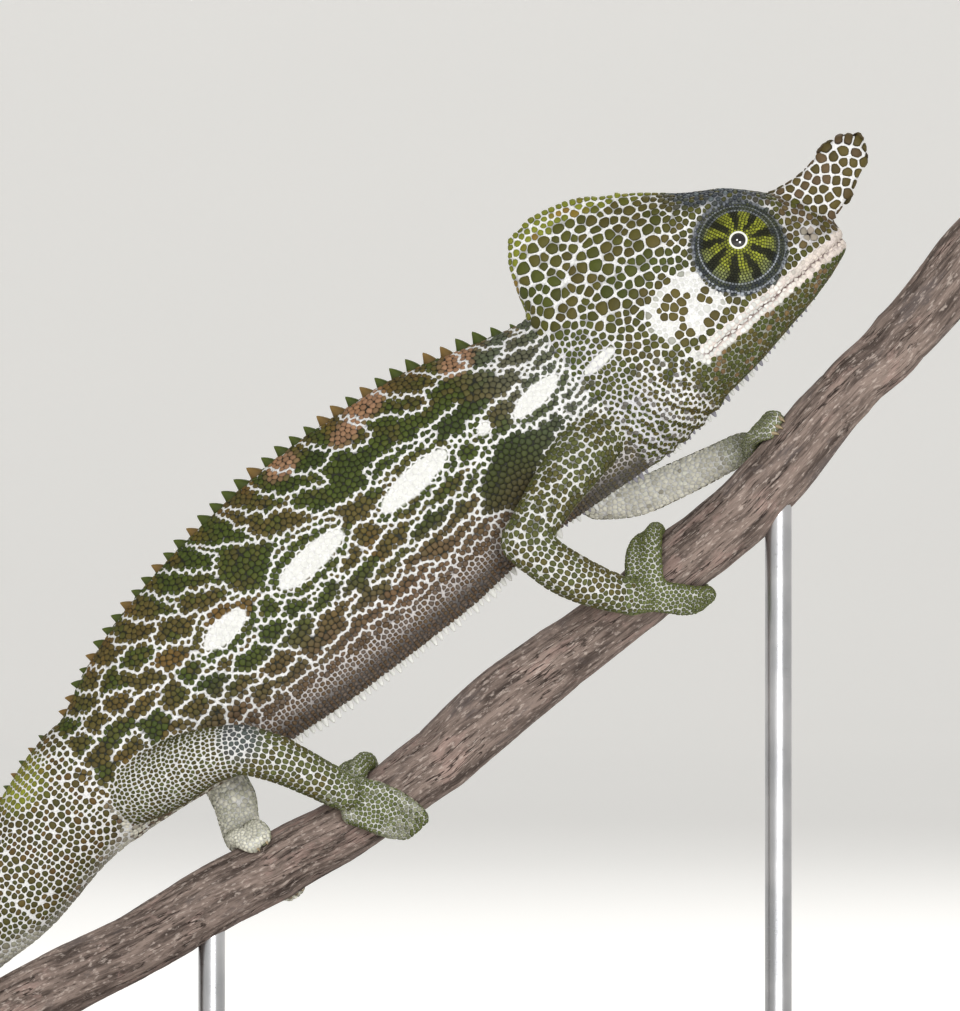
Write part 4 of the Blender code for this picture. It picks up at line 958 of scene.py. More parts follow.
def coat_zones(spots):
    """Shares, from 0 to 1, of the places where the scales change their form or colour."""
    along, rise, height = spots.along, spots.rise, spots.height
    head, torso = spots.on("head") * 1.0, spots.on("torso") * 1.0
    radius, eye_height, _ = spots.from_eye()
    from_mouth = over_mouth(along, rise)
    upper_limb = spots.on("limb") * form_upper[spots.form] * 1.0
    in_rosettes = [np.hypot(along - place[0], rise - place[1]) < place[2] for place in ROSETTES]
    zones = {name: spots.on(name) * 1.0 for name in KINDS}
    zones.update({
        "thigh": upper_limb * (spots.leg >= 2),
        "shoulder": upper_limb * (spots.leg < 2),
        "neck": torso * ramp(along, -38.0, -30.0),
        "hips": torso * ramp(-along, 80.0, 98.0),
        "belly": torso * (1 - ramp(height, 0.09, 0.26)) * (1 - ramp(-along, 80.0, 88.0)),
        "vent": torso * (1 - ramp(height, 0.1, 0.4)) * ramp(-along, 84.0, 92.0),
        "ridge": torso * ramp(height, 0.90, 0.99),
        "casque": head * ramp(rise - 0.35 * (along + 14.0), 2.0, 5.0) * ramp(-along, 4.0, 7.5),
        "nape": head * ramp(-along, 17.5, 21.5) * (1 - ramp(rise, 4.0, 8.0)),
        "jaw": head * (1 - ramp(rise, -8.0, -7.2)) * ramp(along, -16.0, -12.0),
        "throat": np.maximum(head, torso) * (1 - ramp(rise, -6.0, -2.5)) * ramp(along, -33.0, -29.0)
                  * behind_throat(along, rise, -9.0),
        "snout": head * ramp(along, 4.0, 6.5) * ramp(rise, -6.4, -5.4),
        "rim": head * (1 - ramp(np.abs(spots.across), 0.9, 1.4)) * ramp(rise, 6.0, 10.0)
               * ramp(-along, 2.0, 5.0),
        "brow": head * ramp(rise + 0.65 * along, 5.4, 7.2) * ramp(along, -4.2, -1.8)
                * (1 - ramp(along, 5.5, 7.5)),
        "rosette": head * np.max(in_rosettes, axis=0),
        "socket": np.maximum(head, zones["turret"]) * ramp(radius, 4.9, 5.2)
                  * (1 - ramp(radius, 5.6, 6.1)) * (eye_height > 1.0),
        "cheek": head * (1 - ramp(oval(spots, CHEEK, tilt=0.0), 0.8, 1.1)) * (radius > 5.9),
        "lips": head * (along > LIPS_FROM) * (from_mouth > -1.0) * (from_mouth < 1.2),
    })
    return zones


def scale_sizes(spots):
    """Spacing of the scales, in millimetres. Small ones stand among the large."""
    mixed = chance(*np.floor(spots.points.T * 7.0).astype(np.int64))
    tail = np.interp(spots.run, [0, 25, 60, 105, 146], [0.9, 0.84, 0.7, 0.56, 0.44])
    tail = tail * blend(0.6 + 0.62 * mixed ** 1.2, (ramp(spots.run, 25, 60), 0.9 + 0.2 * mixed))
    return by_zone(
        coat_zones(spots), 0.61 + 0.2 * mixed, neck=0.58 + 0.14 * mixed, hips=0.54 + 0.45 * mixed ** 1.5,
        ridge=0.7, belly=0.62, vent=0.52, head=0.78 + 0.3 * mixed, casque=0.86 + 1.3 * mixed ** 1.5,
        rim=0.86, cheek=0.56, rosette=0.95 + 0.3 * mixed, nape=0.62 + 0.16 * mixed, jaw=0.7,
        throat=0.66, snout=0.66 + 0.4 * mixed, brow=0.62, socket=0.4, blade=1.16, tail=tail,
        limb=np.where(spots.leg == 1, 0.6, 0.74), thigh=0.56, foot=0.52, turret=0.36, lips=0.58)


def rows_of(spots, zones):
    """For the places whose scales stand in cross rows: how far each scale is from the middle of
    its row along the body, the tail or the limb, and the share to which rows hold there."""
    table = np.linspace(0, 150, 600)
    spacing = np.interp(table, [0, 25, 60, 105, 146], [0.78, 0.74, 0.66, 0.54, 0.44])
    number = np.cumsum(1 / spacing) * (table[1] - table[0])
    tail_row = np.interp(spots.run, table, number)
    tail_off = (np.round(tail_row) - tail_row) * np.interp(spots.run, table, spacing)
    limb_off = (np.round(spots.run / LIMB_ROWS) - spots.run / LIMB_ROWS) * LIMB_ROWS
    # the torso's rings run from the neck back, against along
    belly_off = (spots.along / BELLY_ROWS - np.round(spots.along / BELLY_ROWS)) * BELLY_ROWS
    off = by_zone(zones, 0.0, belly=belly_off, tail=tail_off, limb=limb_off)
    return off, np.maximum.reduce([zones["belly"], zones["tail"] * 0.8, zones["limb"] * 0.8])


def cast_to_skin(points):
    """The nearest points of the skin, and which way is out there."""
    hits = [skin_tree.find_nearest(point) for point in points]
    corners = skin_triangles[[hit[2] for hit in hits]]
    return np.array([hit[0] for hit in hits]), unit(skin_normals[corners].sum(axis=1))


def neighbours_of(points, count):
    """For each point, the numbers of the nearest others."""
    tree = tree_of(points)
    return np.array([[hit[1] for hit in tree.find_n(point, count + 1)[1:]] for point in points])


def thinned(points, normals, sizes, order):
    """Keeps points in order, dropping each that crowds a kept one on its own side of the body."""
    tree = tree_of(points)
    widest = sizes.max()
    state = np.zeros(len(points), np.int8)
    points_list, reach = points.tolist(), CROWDING * (sizes + widest) / 2
    for number in order:
        if state[number]:
            continue
        state[number] = 1
        near = np.array([hit[1] for hit in tree.find_range(points_list[number], reach[number])])
        away = np.linalg.norm(points[near] - points[number], axis=1)
        crowded = away < CROWDING * (sizes[near] + sizes[number]) / 2
        crowded &= normals[near] @ normals[number] > 0
        state[near[crowded & (state[near] == 0)]] = -1
    return np.flatnonzero(state == 1)


def eye_rings():
    """Rows of points round each eye, every other row shifted by half a step."""
    found = []
    first, last, apart = EYE_ROWS
    profile = turret_profile(200)[::-1]
    path = run_along(profile)
    for side in TURRET_AIM:
        for row in range(40):
            place = row * apart + (first - TURRET[-1][0])
            radius, height = (np.interp(place, path, column) for column in profile.T)
            if radius > last:
                break
            count = int(2 * math.pi * radius / (apart * 1.06))
            turn = (np.arange(count) + 0.5 * (row % 2)) / count * 2 * math.pi
            out, level, up = aim_frame(side)
            found.append(body_point(*EYE_ROOT) + out * height
                         + radius * (np.cos(turn)[:, None] * level + np.sin(turn)[:, None] * up))
    return np.concatenate(found)


def lip_rows():
    """Rows of small flat plates along each lip, two above the mouth and two under it."""
    found = []
    for side in (-1.0, 1.0):
        for rise, start, apart in LIP_ROWS:
            along = np.arange(start, MOUTH_CORNER - LIPS_PAST, -apart)
            found.append(body_point(along, MOUTH_RISE + rise + mouth_bend(along), side * 9.0))
    return np.concatenate(found)


def casque_rim():
    """A row of plates on each side of the casque's edge."""
    steps = np.arange(0, 26, RIM_APART)
    edge = np.array([(row[0], row[1]) for row in HEAD[1:8]])
    path = smooth(edge, np.linspace(0, 6, 200))
    run = run_along(path)
    along, rise = (np.interp(steps[steps < run[-1]], run, column) for column in path.T)
    return np.concatenate([body_point(along, rise - 0.1, side * 0.55) for side in (-1.0, 1.0)])


# places drawn by chance on the skin's triangles: the area of each over the size wanted there
rng = np.random.default_rng(SEED)
set_points, set_normals = cast_to_skin(np.concatenate([eye_rings(), lip_rows(), casque_rim()]))
vertex_sizes = scale_sizes(skin_spots)
corners = skin_points[skin_triangles]
areas = np.linalg.norm(np.cross(corners[:, 1] - corners[:, 0], corners[:, 2] - corners[:, 0]), axis=1) / 2
wanted = areas / vertex_sizes[skin_triangles].mean(axis=1) ** 2
count = int(wanted.sum() * CANDIDATES)
chosen = rng.choice(len(wanted), count, p=wanted / wanted.sum())
shares = rng.random((count, 2))
shares = np.where(shares.sum(axis=1, keepdims=True) > 1, 1 - shares, shares)
shares = np.concatenate([shares, 1 - shares.sum(axis=1, keepdims=True)], axis=1)[..., None]
loose = (corners[chosen] * shares).sum(axis=1)
loose_normals = unit((skin_normals[skin_triangles[chosen]] * shares).sum(axis=1))
loose_sizes = (vertex_sizes[skin_triangles[chosen]] * shares[..., 0]).sum(axis=1)
all_points = np.concatenate([set_points, loose])
all_normals = np.concatenate([set_normals, loose_normals])
all_sizes = np.concatenate([scale_sizes(Spots(set_points, set_normals)), loose_sizes])
from_eye = Spots(all_points, all_normals).from_eye()
bare = (from_eye[0] < EYE_CLEAR) & (from_eye[1] > 2.0) & (np.arange(len(all_points)) >= len(set_points))
all_along, all_rise = along_and_rise(all_points)
bare |= from_nostril(all_along, all_rise) < NOSTRIL_CLEAR
order = np.flatnonzero(~bare)
kept = thinned(all_points, all_normals, all_sizes, order.tolist())
seeds, seed_normals, seed_sizes = all_points[kept], all_normals[kept], all_sizes[kept]
fixed = kept < len(set_points)

# the scales push each other apart and drift into their rows, held to the skin
for step in range(RELAXING):
    if step % 4 == 0:
        near = neighbours_of(seeds, 9)
    off = seeds[:, None] - seeds[near]
    away = np.linalg.norm(off, axis=2) + 1e-6
    room = (seed_sizes[:, None] + seed_sizes[near]) / 2 * ROOM
    same_side = np.sum(seed_normals[:, None] * seed_normals[near], axis=2) > 0.2
    push = np.clip(room - away, 0, None) / away * same_side * PUSH
    moved = seeds + (off * push[..., None]).sum(axis=1)
    if step % 2 == 1:
        spots = Spots(seeds, seed_normals)
        row_off, hold = rows_of(spots, coat_zones(spots))
        moved = moved + spots.onward * (row_off * hold * ROW_HOLD)[:, None]
    seeds = np.where(fixed[:, None], seeds, moved)
    seeds, seed_normals = cast_to_skin(seeds)
spots = Spots(seeds, seed_normals)


# ---- the scales
# Each scale is a small low dome on the skin. It fills its cell among its neighbours, less a
# gap, which is wider where a white line of skin parts two groups. Its colour goes by its place.

NEIGHBOURS = 14  # the near scales that bound each scale's cell
LINE_GAP = 0.27
GROWN_TOGETHER = 0.08  # share of the pairs of neighbouring groups with no white line between
GROUPS_FROM = 4.5  # the rise over which the groups lean down from the back
GROUP_LEAN = 9.2
FAR_FLANK = 40.0  # added to the rise there, so that no group spans the two flanks
GROUPS_APART = 0.95  # least distance of two middles, by a group's own length and width
LAST_FOLD = 16.0
LIP_HEIGHTS = (1.15, 0.98)  # of the upper and the lower lip
MOST_REACH = 0.8  # of a scale, as a share of its spacing
FLATTEST = 0.03
SCALE_RINGS = ((1.0, 0.0, 0.07, 1.0), (0.95, 0.55, 0.0, 0.8))  # width, height, sink, share of the painted shade at the scale's edge
PATCH_RADIUS = 0.0015  # of a scale on the baking map

# The numbers of the groups: lips, blotches, rosettes, the shoulder's patch, the dark rims round
# the blotches, the throat's rows and the trunk's groups. A scale that stands alone is below 0.
LIPS = [40, 41]
IN_BLOTCH = range(50, 60)
IN_ROSETTE = range(60, 70)
SHOULDER_PATCH = 80
IN_RIM = range(90, 110)
FIRST_ROW = 500
FIRST_GROUP = 1000

WHITE = tone(238, 238, 236)
LIP_PINK = tone(232, 220, 212)
LILAC = tone(176, 174, 188)
SLATE = tone(58, 66, 80)
NIGHT_GREEN = tone(48, 60, 19)
LEAF_GREEN = tone(66, 77, 22)
OLIVE = tone(80, 80, 30)
OLIVE_BROWN = tone(88, 77, 36)
YELLOW_GREEN = tone(150, 156, 46)
ORANGE_BROWN = tone(146, 100, 48)
PINK_BROWN = tone(106, 83, 65)
PINK_TAN = tone(168, 128, 100)
GREY_GREEN = tone(88, 92, 48)
EYE_BLUE = tone(126, 138, 142)
MOSS = tone(76, 86, 38)
PALE_LIMB = tone(244, 241, 228)
# a dark olive, used for the rays of the eyes and as painted shade in the skin's narrow gaps
DARK_OLIVE_AND_SHADE = tone(30, 32, 18)

BLOTCHES = [  # white marks on each flank: along, rise, half length, half height
    (-48.0, 3.7, 5.3, 1.5), (-63.4, 4.4, 5.1, 1.5), (-76.6, 4.6, 3.3, 1.35), (-30.3, 2.1, 3.5, 1.2),
    (-37.6, 3.1, 0.9, 0.7), (-21.8, 0.4, 2.4, 0.7),
]
BLOTCH_HALOS = 1.5, 0.9  # width of the dark rim round the large and the small blotches
BLOTCH_JOINS = 0.4  # share of the groups beside a blotch that break its dark rim
TAN_PATCHES = [  # pinkish marks under the crest
    (-46.6, 14.6, 3.0, 1.8), (-34.8, 11.4, 2.6, 1.6), (-59.0, 15.2, 2.4, 1.4), (-50.5, 13.4, 2.4, 1.3),
]
DARK_SHOULDER = (-36.0, -3.6, 7.5, 4.6)
YELLOW_PATCH = (-107.5, 6.6, 4.4, 3.8)  # at the tail's root, as the marks above
BLUE_KNEE = (-21.5, 63.0)  # the near knee's x and z
TAIL_BANDS = 19.0  # from one band to the next
EYE_RAYS = 9


def group_shapes(spots):
    """How the groups lie: their heading in the body frame, and how far apart they are along it
    and across it. They leave the back leaning down and forward, heading = -atan(rise over the
    blotches / length), and turn along the body lower down, where they get shorter to the rear."""
    along, rise = spots.along, spots.rise
    over = np.maximum(rise - GROUPS_FROM, 0)
    heading = 0.05 - np.arctan2(over, GROUP_LEAN) + 0.12 * lumps(spots.points, 6.0, 23)
    upper, rear = ramp(rise, 3.0, 8.0), ramp(-along, 72.0, 92.0)
    neck, head, arm = ramp(along, -40.0, -31.0), spots.on("head"), spots.on("limb")
    length = blend(np.interp(-along, [24, 50, 62, 76, 90], [7.0, 6.0, 4.8, 3.6, 2.8]), (upper, 8.6),
                   (rear, 3.0), (neck, 5.0), (head, 1.9), (arm, 2.4))
    width = blend(np.interp(rise, [-9, -4, 2], [1.15, 1.5, 2.1]), (upper, 2.4), (rear, 2.2),
                  (neck, 1.4), (head, 1.45), (arm, 1.4))
    return heading, length, width


def scale_groups(spots, zones):
    """The group of each scale. On the trunk, middles of groups are chosen among the scales, held
    apart by the measure hypot(run / length, side / width), then moved to the middle of their
    members. A scale joins the nearest. Blotches and the dark rims round them are groups of their
    own, folds of the throat are rows, and elsewhere a scale stands alone."""
    fading = spots.along + 4.0 * (chance(np.arange(len(spots.points)), 8) - 0.5) < -103.0
    on_face = (zones["head"] > 0) & (zones["cheek"] < 0.3)
    on_trunk = zones["torso"] > 0
    hip = (zones["tail"] > 0) & (spots.run < 9.0)
    in_groups = (on_trunk | hip) & (zones["belly"] < 0.75) & ~fading
    trunk = np.flatnonzero(in_groups | on_face | (zones["shoulder"] > 0))
    heading, length, width = (part[trunk] for part in group_shapes(spots))
    flat = np.stack([spots.along, spots.rise + FAR_FLANK * (spots.across > 0)], -1)[trunk]
    c, s = np.cos(heading), np.sin(heading)

    def measure(numbers, middles):
        """Distances of numbered scales from middles of groups, by the groups' own shape there."""
        off = middles - flat[numbers][:, None]
        run = off[..., 0] * c[numbers, None] + off[..., 1] * s[numbers, None]
        side = off[..., 1] * c[numbers, None] - off[..., 0] * s[numbers, None]
        return np.hypot(run / length[numbers, None], side / width[numbers, None])

    middles = np.zeros((0, 2))
    for number in np.argsort(chance(trunk, 3)):
        if not len(middles) or measure(np.array([number]), middles[None]).min() > GROUPS_APART:
            middles = np.concatenate([middles, flat[number][None]])
    everyone = np.arange(len(trunk))
    for _ in range(3):
        member = measure(everyone, middles[None]).argmin(axis=1)
        count = np.bincount(member, minlength=len(middles))[:, None] + 1e-9
        middles = np.stack([np.bincount(member, flat[:, k], len(middles)) for k in (0, 1)], -1) / count
    groups = -100 - np.arange(len(spots.points))
    groups[trunk] = FIRST_GROUP + measure(everyone, middles[None]).argmin(axis=1)
    fold = fold_radius(spots)
    in_fold = (zones["throat"] > 0.5) & (fold > FIRST_FOLD) & (fold < LAST_FOLD)
    rows = FIRST_ROW + np.floor((fold - FIRST_FOLD) / FOLD_APART).astype(int)
    groups = np.where(in_fold, rows, groups)
    wander = 0.1 * lumps(spots.points, 1.3, 22)
    groups = np.where(on_trunk & (oval(spots, DARK_SHOULDER) < 1 + wander), SHOULDER_PATCH, groups)
    for number, blotch in enumerate(BLOTCHES):
        halo = BLOTCH_HALOS[0] if blotch[2] > 3 else BLOTCH_HALOS[1]
        rim = on_trunk & (oval(spots, blotch, halo) < 1 + wander)
        touching = np.unique(groups[rim & (groups >= FIRST_GROUP)])
        joined = touching[chance(touching, 6) < BLOTCH_JOINS]
        above = spots.rise > blotch[1] + MARK_TILT * (spots.along - blotch[0])
        groups = np.where(rim & ~np.isin(groups, joined), IN_RIM[2 * number] + above, groups)
        inside = (on_trunk | (zones["head"] > 0)) & (oval(spots, blotch) < 1)
        groups = np.where(inside, IN_BLOTCH[number], groups)
    for number, (along, rise, radius) in enumerate(ROSETTES):
        in_rosette = (zones["cheek"] > 0.2) & (np.hypot(spots.along - along, spots.rise - rise) < radius)
        groups = np.where(in_rosette, IN_ROSETTE[number], groups)
    in_mouth = (zones["head"] > 0) & (spots.along > LIPS_FROM)
    from_mouth = over_mouth(spots.along, spots.rise)
    for lip, side, height in zip(LIPS, (from_mouth, -from_mouth), LIP_HEIGHTS):
        groups = np.where(in_mouth & (side > 0) & (side < height), lip, groups)
    return groups


def gaps(zones, groups):
    """The skin that shows within a group and between groups, in millimetres."""
    own = by_zone(zones, 0.1, belly=0.11, head=0.12, jaw=0.08, throat=0.06, snout=0.08, brow=0.05,
                  socket=0.04, cheek=0.04, blade=0.17, tail=0.07, limb=0.06, thigh=0.1, foot=0.07,
                  turret=0.03)
    grouped = groups > 0
    inside = np.where(grouped, by_zone(zones, 0.0, head=0.04, casque=0.07), own)
    inside = np.where(np.isin(groups, [*LIPS, *IN_BLOTCH]), 0.01, inside)
    between = by_zone(zones, np.where(grouped, LINE_GAP, own), head=0.15, casque=0.2, neck=0.34,
                      throat=0.28, jaw=0.08, brow=0.07, belly=0.15, shoulder=0.17)
    return inside, np.where(np.isin(groups, [*LIPS, *IN_BLOTCH, *IN_ROSETTE]), 0.1, between)


def parted(first, second):
    """Whether a white line parts scales of two groups: a few pairs of groups have grown together."""
    low, high = np.minimum(first, second), np.maximum(first, second)
    could = (low >= SHOULDER_PATCH) & (high >= FIRST_GROUP)
    return (first != second) & ~(could & (chance(low, high) < GROWN_TOGETHER))


def outlines(spots, sizes, groups, gap_inside, gap_between, sharpness, sides):
    """Each scale's reach in even directions. A line parts it from each neighbour, gap / 2 inside
    and nearer to the smaller scale, and the reach is the rounded inside of those lines: the sum
    of (cosine / distance) ^ sharpness, to the power -1 / sharpness. It also gives how the skin
    bends away there, from how much lower the neighbours lie, and the directions."""
    forward = unit(spots.onward - spots.normals * np.sum(spots.onward * spots.normals, axis=1)[:, None])
    side = np.cross(spots.normals, forward)
    off = spots.points[near_scales] - spots.points[:, None]
    x, y = np.einsum("nkc,nc->nk", off, forward), np.einsum("nkc,nc->nk", off, side)
    away = np.linalg.norm(off, axis=2)
    facing = np.einsum("nkc,nc->nk", spots.normals[near_scales], spots.normals) > 0.15
    inside, between = (each[near_scales] + each[:, None] for each in (gap_inside, gap_between))
    gap = np.where(parted(groups[near_scales], groups[:, None]), between, inside) / 2
    share = sizes[:, None] / (sizes[:, None] + sizes[near_scales])
    limit = np.where(facing, np.maximum(away * share - gap / 2, 0.05), 99.0)
    turn = around(sides)
    toward = np.maximum(np.cos(turn[None, None] - np.arctan2(y, x)[..., None]), 0)
    power = sharpness[:, None]
    reach = ((toward / limit[..., None]) ** power[..., None]).sum(axis=1)
    reach = (reach + (1 / (sizes * MOST_REACH))[:, None] ** power) ** (-1 / power)
    weight = toward ** 4 * facing[..., None]
    bend = 2 * np.einsum("nkc,nc->nk", off, spots.normals) / away ** 2
    bend = (weight * bend[..., None]).sum(axis=1) / (weight.sum(axis=1) + 1e-6)
    turn = turn[None, :, None]
    direction = forward[:, None] * np.cos(turn) + side[:, None] * np.sin(turn)
    return reach, np.clip(bend, -1.6, 0.4), direction


def laid_over(tint, layers):
    """Lays the colours of (share, colour) layers over a tint in turn, each by its share."""
    for share, colour in layers:
        tint = tint + (colour - tint) * np.clip(share, 0, 1)[:, None]
    return tint


def scale_tints(spots, zones, groups):
    """The colour of each scale, from the marks of its place and a little chance of its own."""
    scales = np.arange(len(spots.points))
    own = chance(scales, 5)
    group = chance(np.abs(groups), 7)
    along, height, leg = spots.along, spots.height, spots.leg
    soft = lumps(spots.points, 3.0, 31)
    mixed = group + 0.4 * lumps(spots.points, 9.0, 32) + 0.35 * (own - 0.5) + 0.3 * soft
    torso, head, tail, limb, foot = (zones[name] for name in ("torso", "head", "tail", "limb", "foot"))
    neck, throat, jaw, brow, rim = (zones[name] for name in ("neck", "throat", "jaw", "brow", "rim"))
    thigh, blade, eye = zones["thigh"], zones["blade"], zones["turret"]
    # the trunk: green and olive-brown groups, browner below, pinkish towards the belly
    layers = [
        (ramp(mixed, 0.3, 0.75), OLIVE_BROWN),
        (ramp(-mixed, -0.25, 0.1) * 0.75, NIGHT_GREEN),
        (ramp(mixed, 0.85, 1.3) * 0.4, ORANGE_BROWN * 0.8),
        ((1 - ramp(height + 0.05 * soft, 0.16, 0.46)) * 0.85, PINK_BROWN),
        (zones["hips"] * ramp(own, 0.3, 0.9) * 0.4, OLIVE),
        (neck * 0.5, MOSS * 1.1),
        (neck * 0.3, LILAC * 0.35),
        (zones["belly"] * ramp(own, 0.3, 0.9) * 0.5, tone(122, 114, 110)),
        (zones["vent"] * ramp(own + 0.3 * soft, 0.2, 0.7) * 0.75, PALE_LIMB),
        ((groups == SHOULDER_PATCH) * 0.5, NIGHT_GREEN),
        (np.isin(groups, IN_RIM) * 0.35, LEAF_GREEN),
    ]
    layers += [(torso * (1 - ramp(oval(spots, place), 0.7, 1.2)) * 0.85, PINK_TAN) for place in TAN_PATCHES]
    # the head: olive and brown plates, a white cheek with brown rosettes, pale lips
    lip = blend(WHITE, (ramp(along, -4.0, 7.0)[:, None], LIP_PINK))
    nostril = from_nostril(along, spots.rise)
    layers += [
        (zones["ridge"] * ramp(np.sin(along * 1.55), 0.0, 0.7) * 0.3, ORANGE_BROWN),
        (head, OLIVE),
        (head * ramp(own, 0.55, 0.95) * 0.7, OLIVE_BROWN),
        (head * ramp(soft, 0.1, 0.6) * 0.6, LEAF_GREEN),
        (head * ramp(group, 0.6, 0.8) * 0.6, OLIVE_BROWN),
        (zones["nape"] * 0.5, MOSS),
        (zones["cheek"] * (groups < IN_ROSETTE[0]) * 0.97, WHITE),
        (np.isin(groups, IN_ROSETTE) * 0.8, OLIVE_BROWN * 1.1),
        (throat * ramp(own, 0.2, 0.8) * 0.7, OLIVE_BROWN * 1.15),
        (throat * ramp(own, 0.75, 0.9) * 0.4, LILAC * 0.7),
        (jaw * 0.7, MOSS),
        (jaw * ramp(own + 0.4 * soft, 0.3, 0.8) * 0.75, OLIVE_BROWN * 1.2),
        (jaw * ramp(own - 0.3 * soft, 0.85, 0.95) * 0.4, PINK_TAN),
        (brow * ramp(own, 0.0, 0.4) * 0.85, SLATE),
        (brow * ramp(own, 0.7, 0.9) * 0.5, EYE_BLUE),
        (zones["snout"] * ramp(own, 0.3, 0.8) * 0.5, PINK_BROWN),
        (rim * 0.85, YELLOW_GREEN * 0.7),
        (rim * ramp(own, 0.6, 0.9) * 0.6, ORANGE_BROWN),
        (np.isin(groups, LIPS) * (0.97 - 0.1 * own), lip),
        (head * (1 - ramp(nostril, 0.7, 1.2)) * 0.55, LIP_PINK * 0.7),
        (blade, OLIVE_BROWN),
        (blade * ramp(own, 0.4, 0.9) * 0.6, PINK_BROWN),
    ]
    # the tail: brown and olive beads, dim bands of moss green, pale below
    bands = ramp(np.cos(spots.run * 2 * math.pi / TAIL_BANDS) + soft, 0.2, 1.0) * ramp(spots.run, 10, 30)
    patch = 1 - ramp(oval(spots, YELLOW_PATCH, tilt=0.0), 0.4, 1.2)
    layers += [
        (tail, OLIVE_BROWN * 0.8),
        (tail * ramp(own, 0.55, 0.8) * 0.7, OLIVE * 0.85),
        (tail * ramp(-own, -0.3, -0.1) * 0.35, ORANGE_BROWN * 0.6),
        (tail * bands * 0.6, MOSS),
        (tail * ramp(-spots.normals[:, 2], 0.45, 0.85) * 0.7, PALE_LIMB * 0.8),
        ((tail + torso) * patch * (0.4 + 0.4 * own), YELLOW_GREEN),
    ]
    # the limbs: olive green with a bluish knee, green feet, pale on their inner sides
    knee = np.hypot(spots.points[:, 0] - BLUE_KNEE[0], spots.points[:, 2] - BLUE_KNEE[1])
    behind = leg >= 2
    pale_toes = foot * behind * ramp(own + soft, 0.1, 1.0) * np.where(leg == 2, 0.3, 0.7)
    elbow, wrist = (np.array(LEGS["front_left"][1][number][:3]) for number in (0, -1))
    down_arm = (spots.points - wrist) @ unit(wrist - elbow)
    pale = np.where(foot > 0, np.where(behind, 0.6, 0.1), 0.94)
    pale = np.where(leg == 1, 0.1 + 0.84 * (1 - ramp(down_arm, -8.0, 3.0)), pale)
    outside = np.where(np.isin(leg, [0, 2]), -1.0, 1.0) * spots.normals[:, 1]
    inner = (limb + foot) * ramp(-outside, -0.1, 0.4)
    layers += [
        (limb, GREY_GREEN),
        (limb * ramp(soft + own, 0.1, 1.0) * 0.75, OLIVE_BROWN * 1.1),
        (thigh * ramp(own, 0.1, 0.6) * 0.8, OLIVE_BROWN * 0.85),
        ((thigh + zones["shoulder"]) * ramp(own + soft, 0.7, 1.2) * 0.5, LEAF_GREEN),
        (limb * (1 - ramp(knee, 1.5, 3.6)) * 0.6, SLATE * 1.6),
        (foot, tone(100, 108, 60)),
        (foot * ramp(own, 0.5, 1.0) * 0.5, GREY_GREEN * 1.4),
        (pale_toes, PALE_LIMB * 0.9),
        (inner * pale, PALE_LIMB),
        (limb * inner * ramp(own, 0.96, 0.97) * 0.5, OLIVE_BROWN),
    ]
    # the eyes: yellow green with dark rays a little lower on the turret, slate at the socket
    radius, _, turn = spots.from_eye()
    seen = radius * (1 + 0.1 * np.sin(turn))
    wobble = 0.35 * np.sin(radius * 2.1) + 0.25 * np.sin(3 * turn + 0.7)
    rays = ramp(np.cos(turn * EYE_RAYS + wobble), -0.1, 0.5) * ramp(seen, 1.2, 1.8)
    rays = rays * (1 - ramp(seen, 4.2, 4.9) * 0.5)
    ring = np.cos(2 * math.pi * (radius - EYE_ROWS[0]) / (2 * EYE_ROWS[2]))
    low = ramp(-np.sin(turn), -0.5, 0.7)
    outer = np.maximum(zones["socket"], eye * ramp(seen, 4.1, 4.5))
    slate = blend(SLATE * 0.7, (ramp(own, 0.5, 0.9)[:, None] * 0.5, GREY_GREEN * 0.8))
    layers += [
        (eye, YELLOW_GREEN),
        (eye * ramp(own, 0.3, 0.9) * 0.5, OLIVE),
        (eye * ramp(seen, 2.6, 4.2) * low * 0.5, EYE_BLUE * 0.6),
        (eye * rays * 0.95, DARK_OLIVE_AND_SHADE * 0.4),
        (outer * 0.85, slate),
        (outer * ramp(ring, 0.0, 0.6) * (0.35 + 0.5 * low), tone(176, 182, 194)),
    ]
    tint = laid_over(LEAF_GREEN, layers)
    tint[:, :3] *= (0.8 + 0.4 * chance(scales, 9))[:, None]
    return np.clip(tint, 0, 1)


def white_marks(points):
    """Share of white at points: inside the ovals of the blotches."""
    along, rise = along_and_rise(points)
    from_middle = np.min([oval_at(along, rise, place) for place in BLOTCHES], axis=0)
    return 1 - ramp(from_middle + 0.05 * lumps(points, 0.8, 24), 0.98, 1.04)


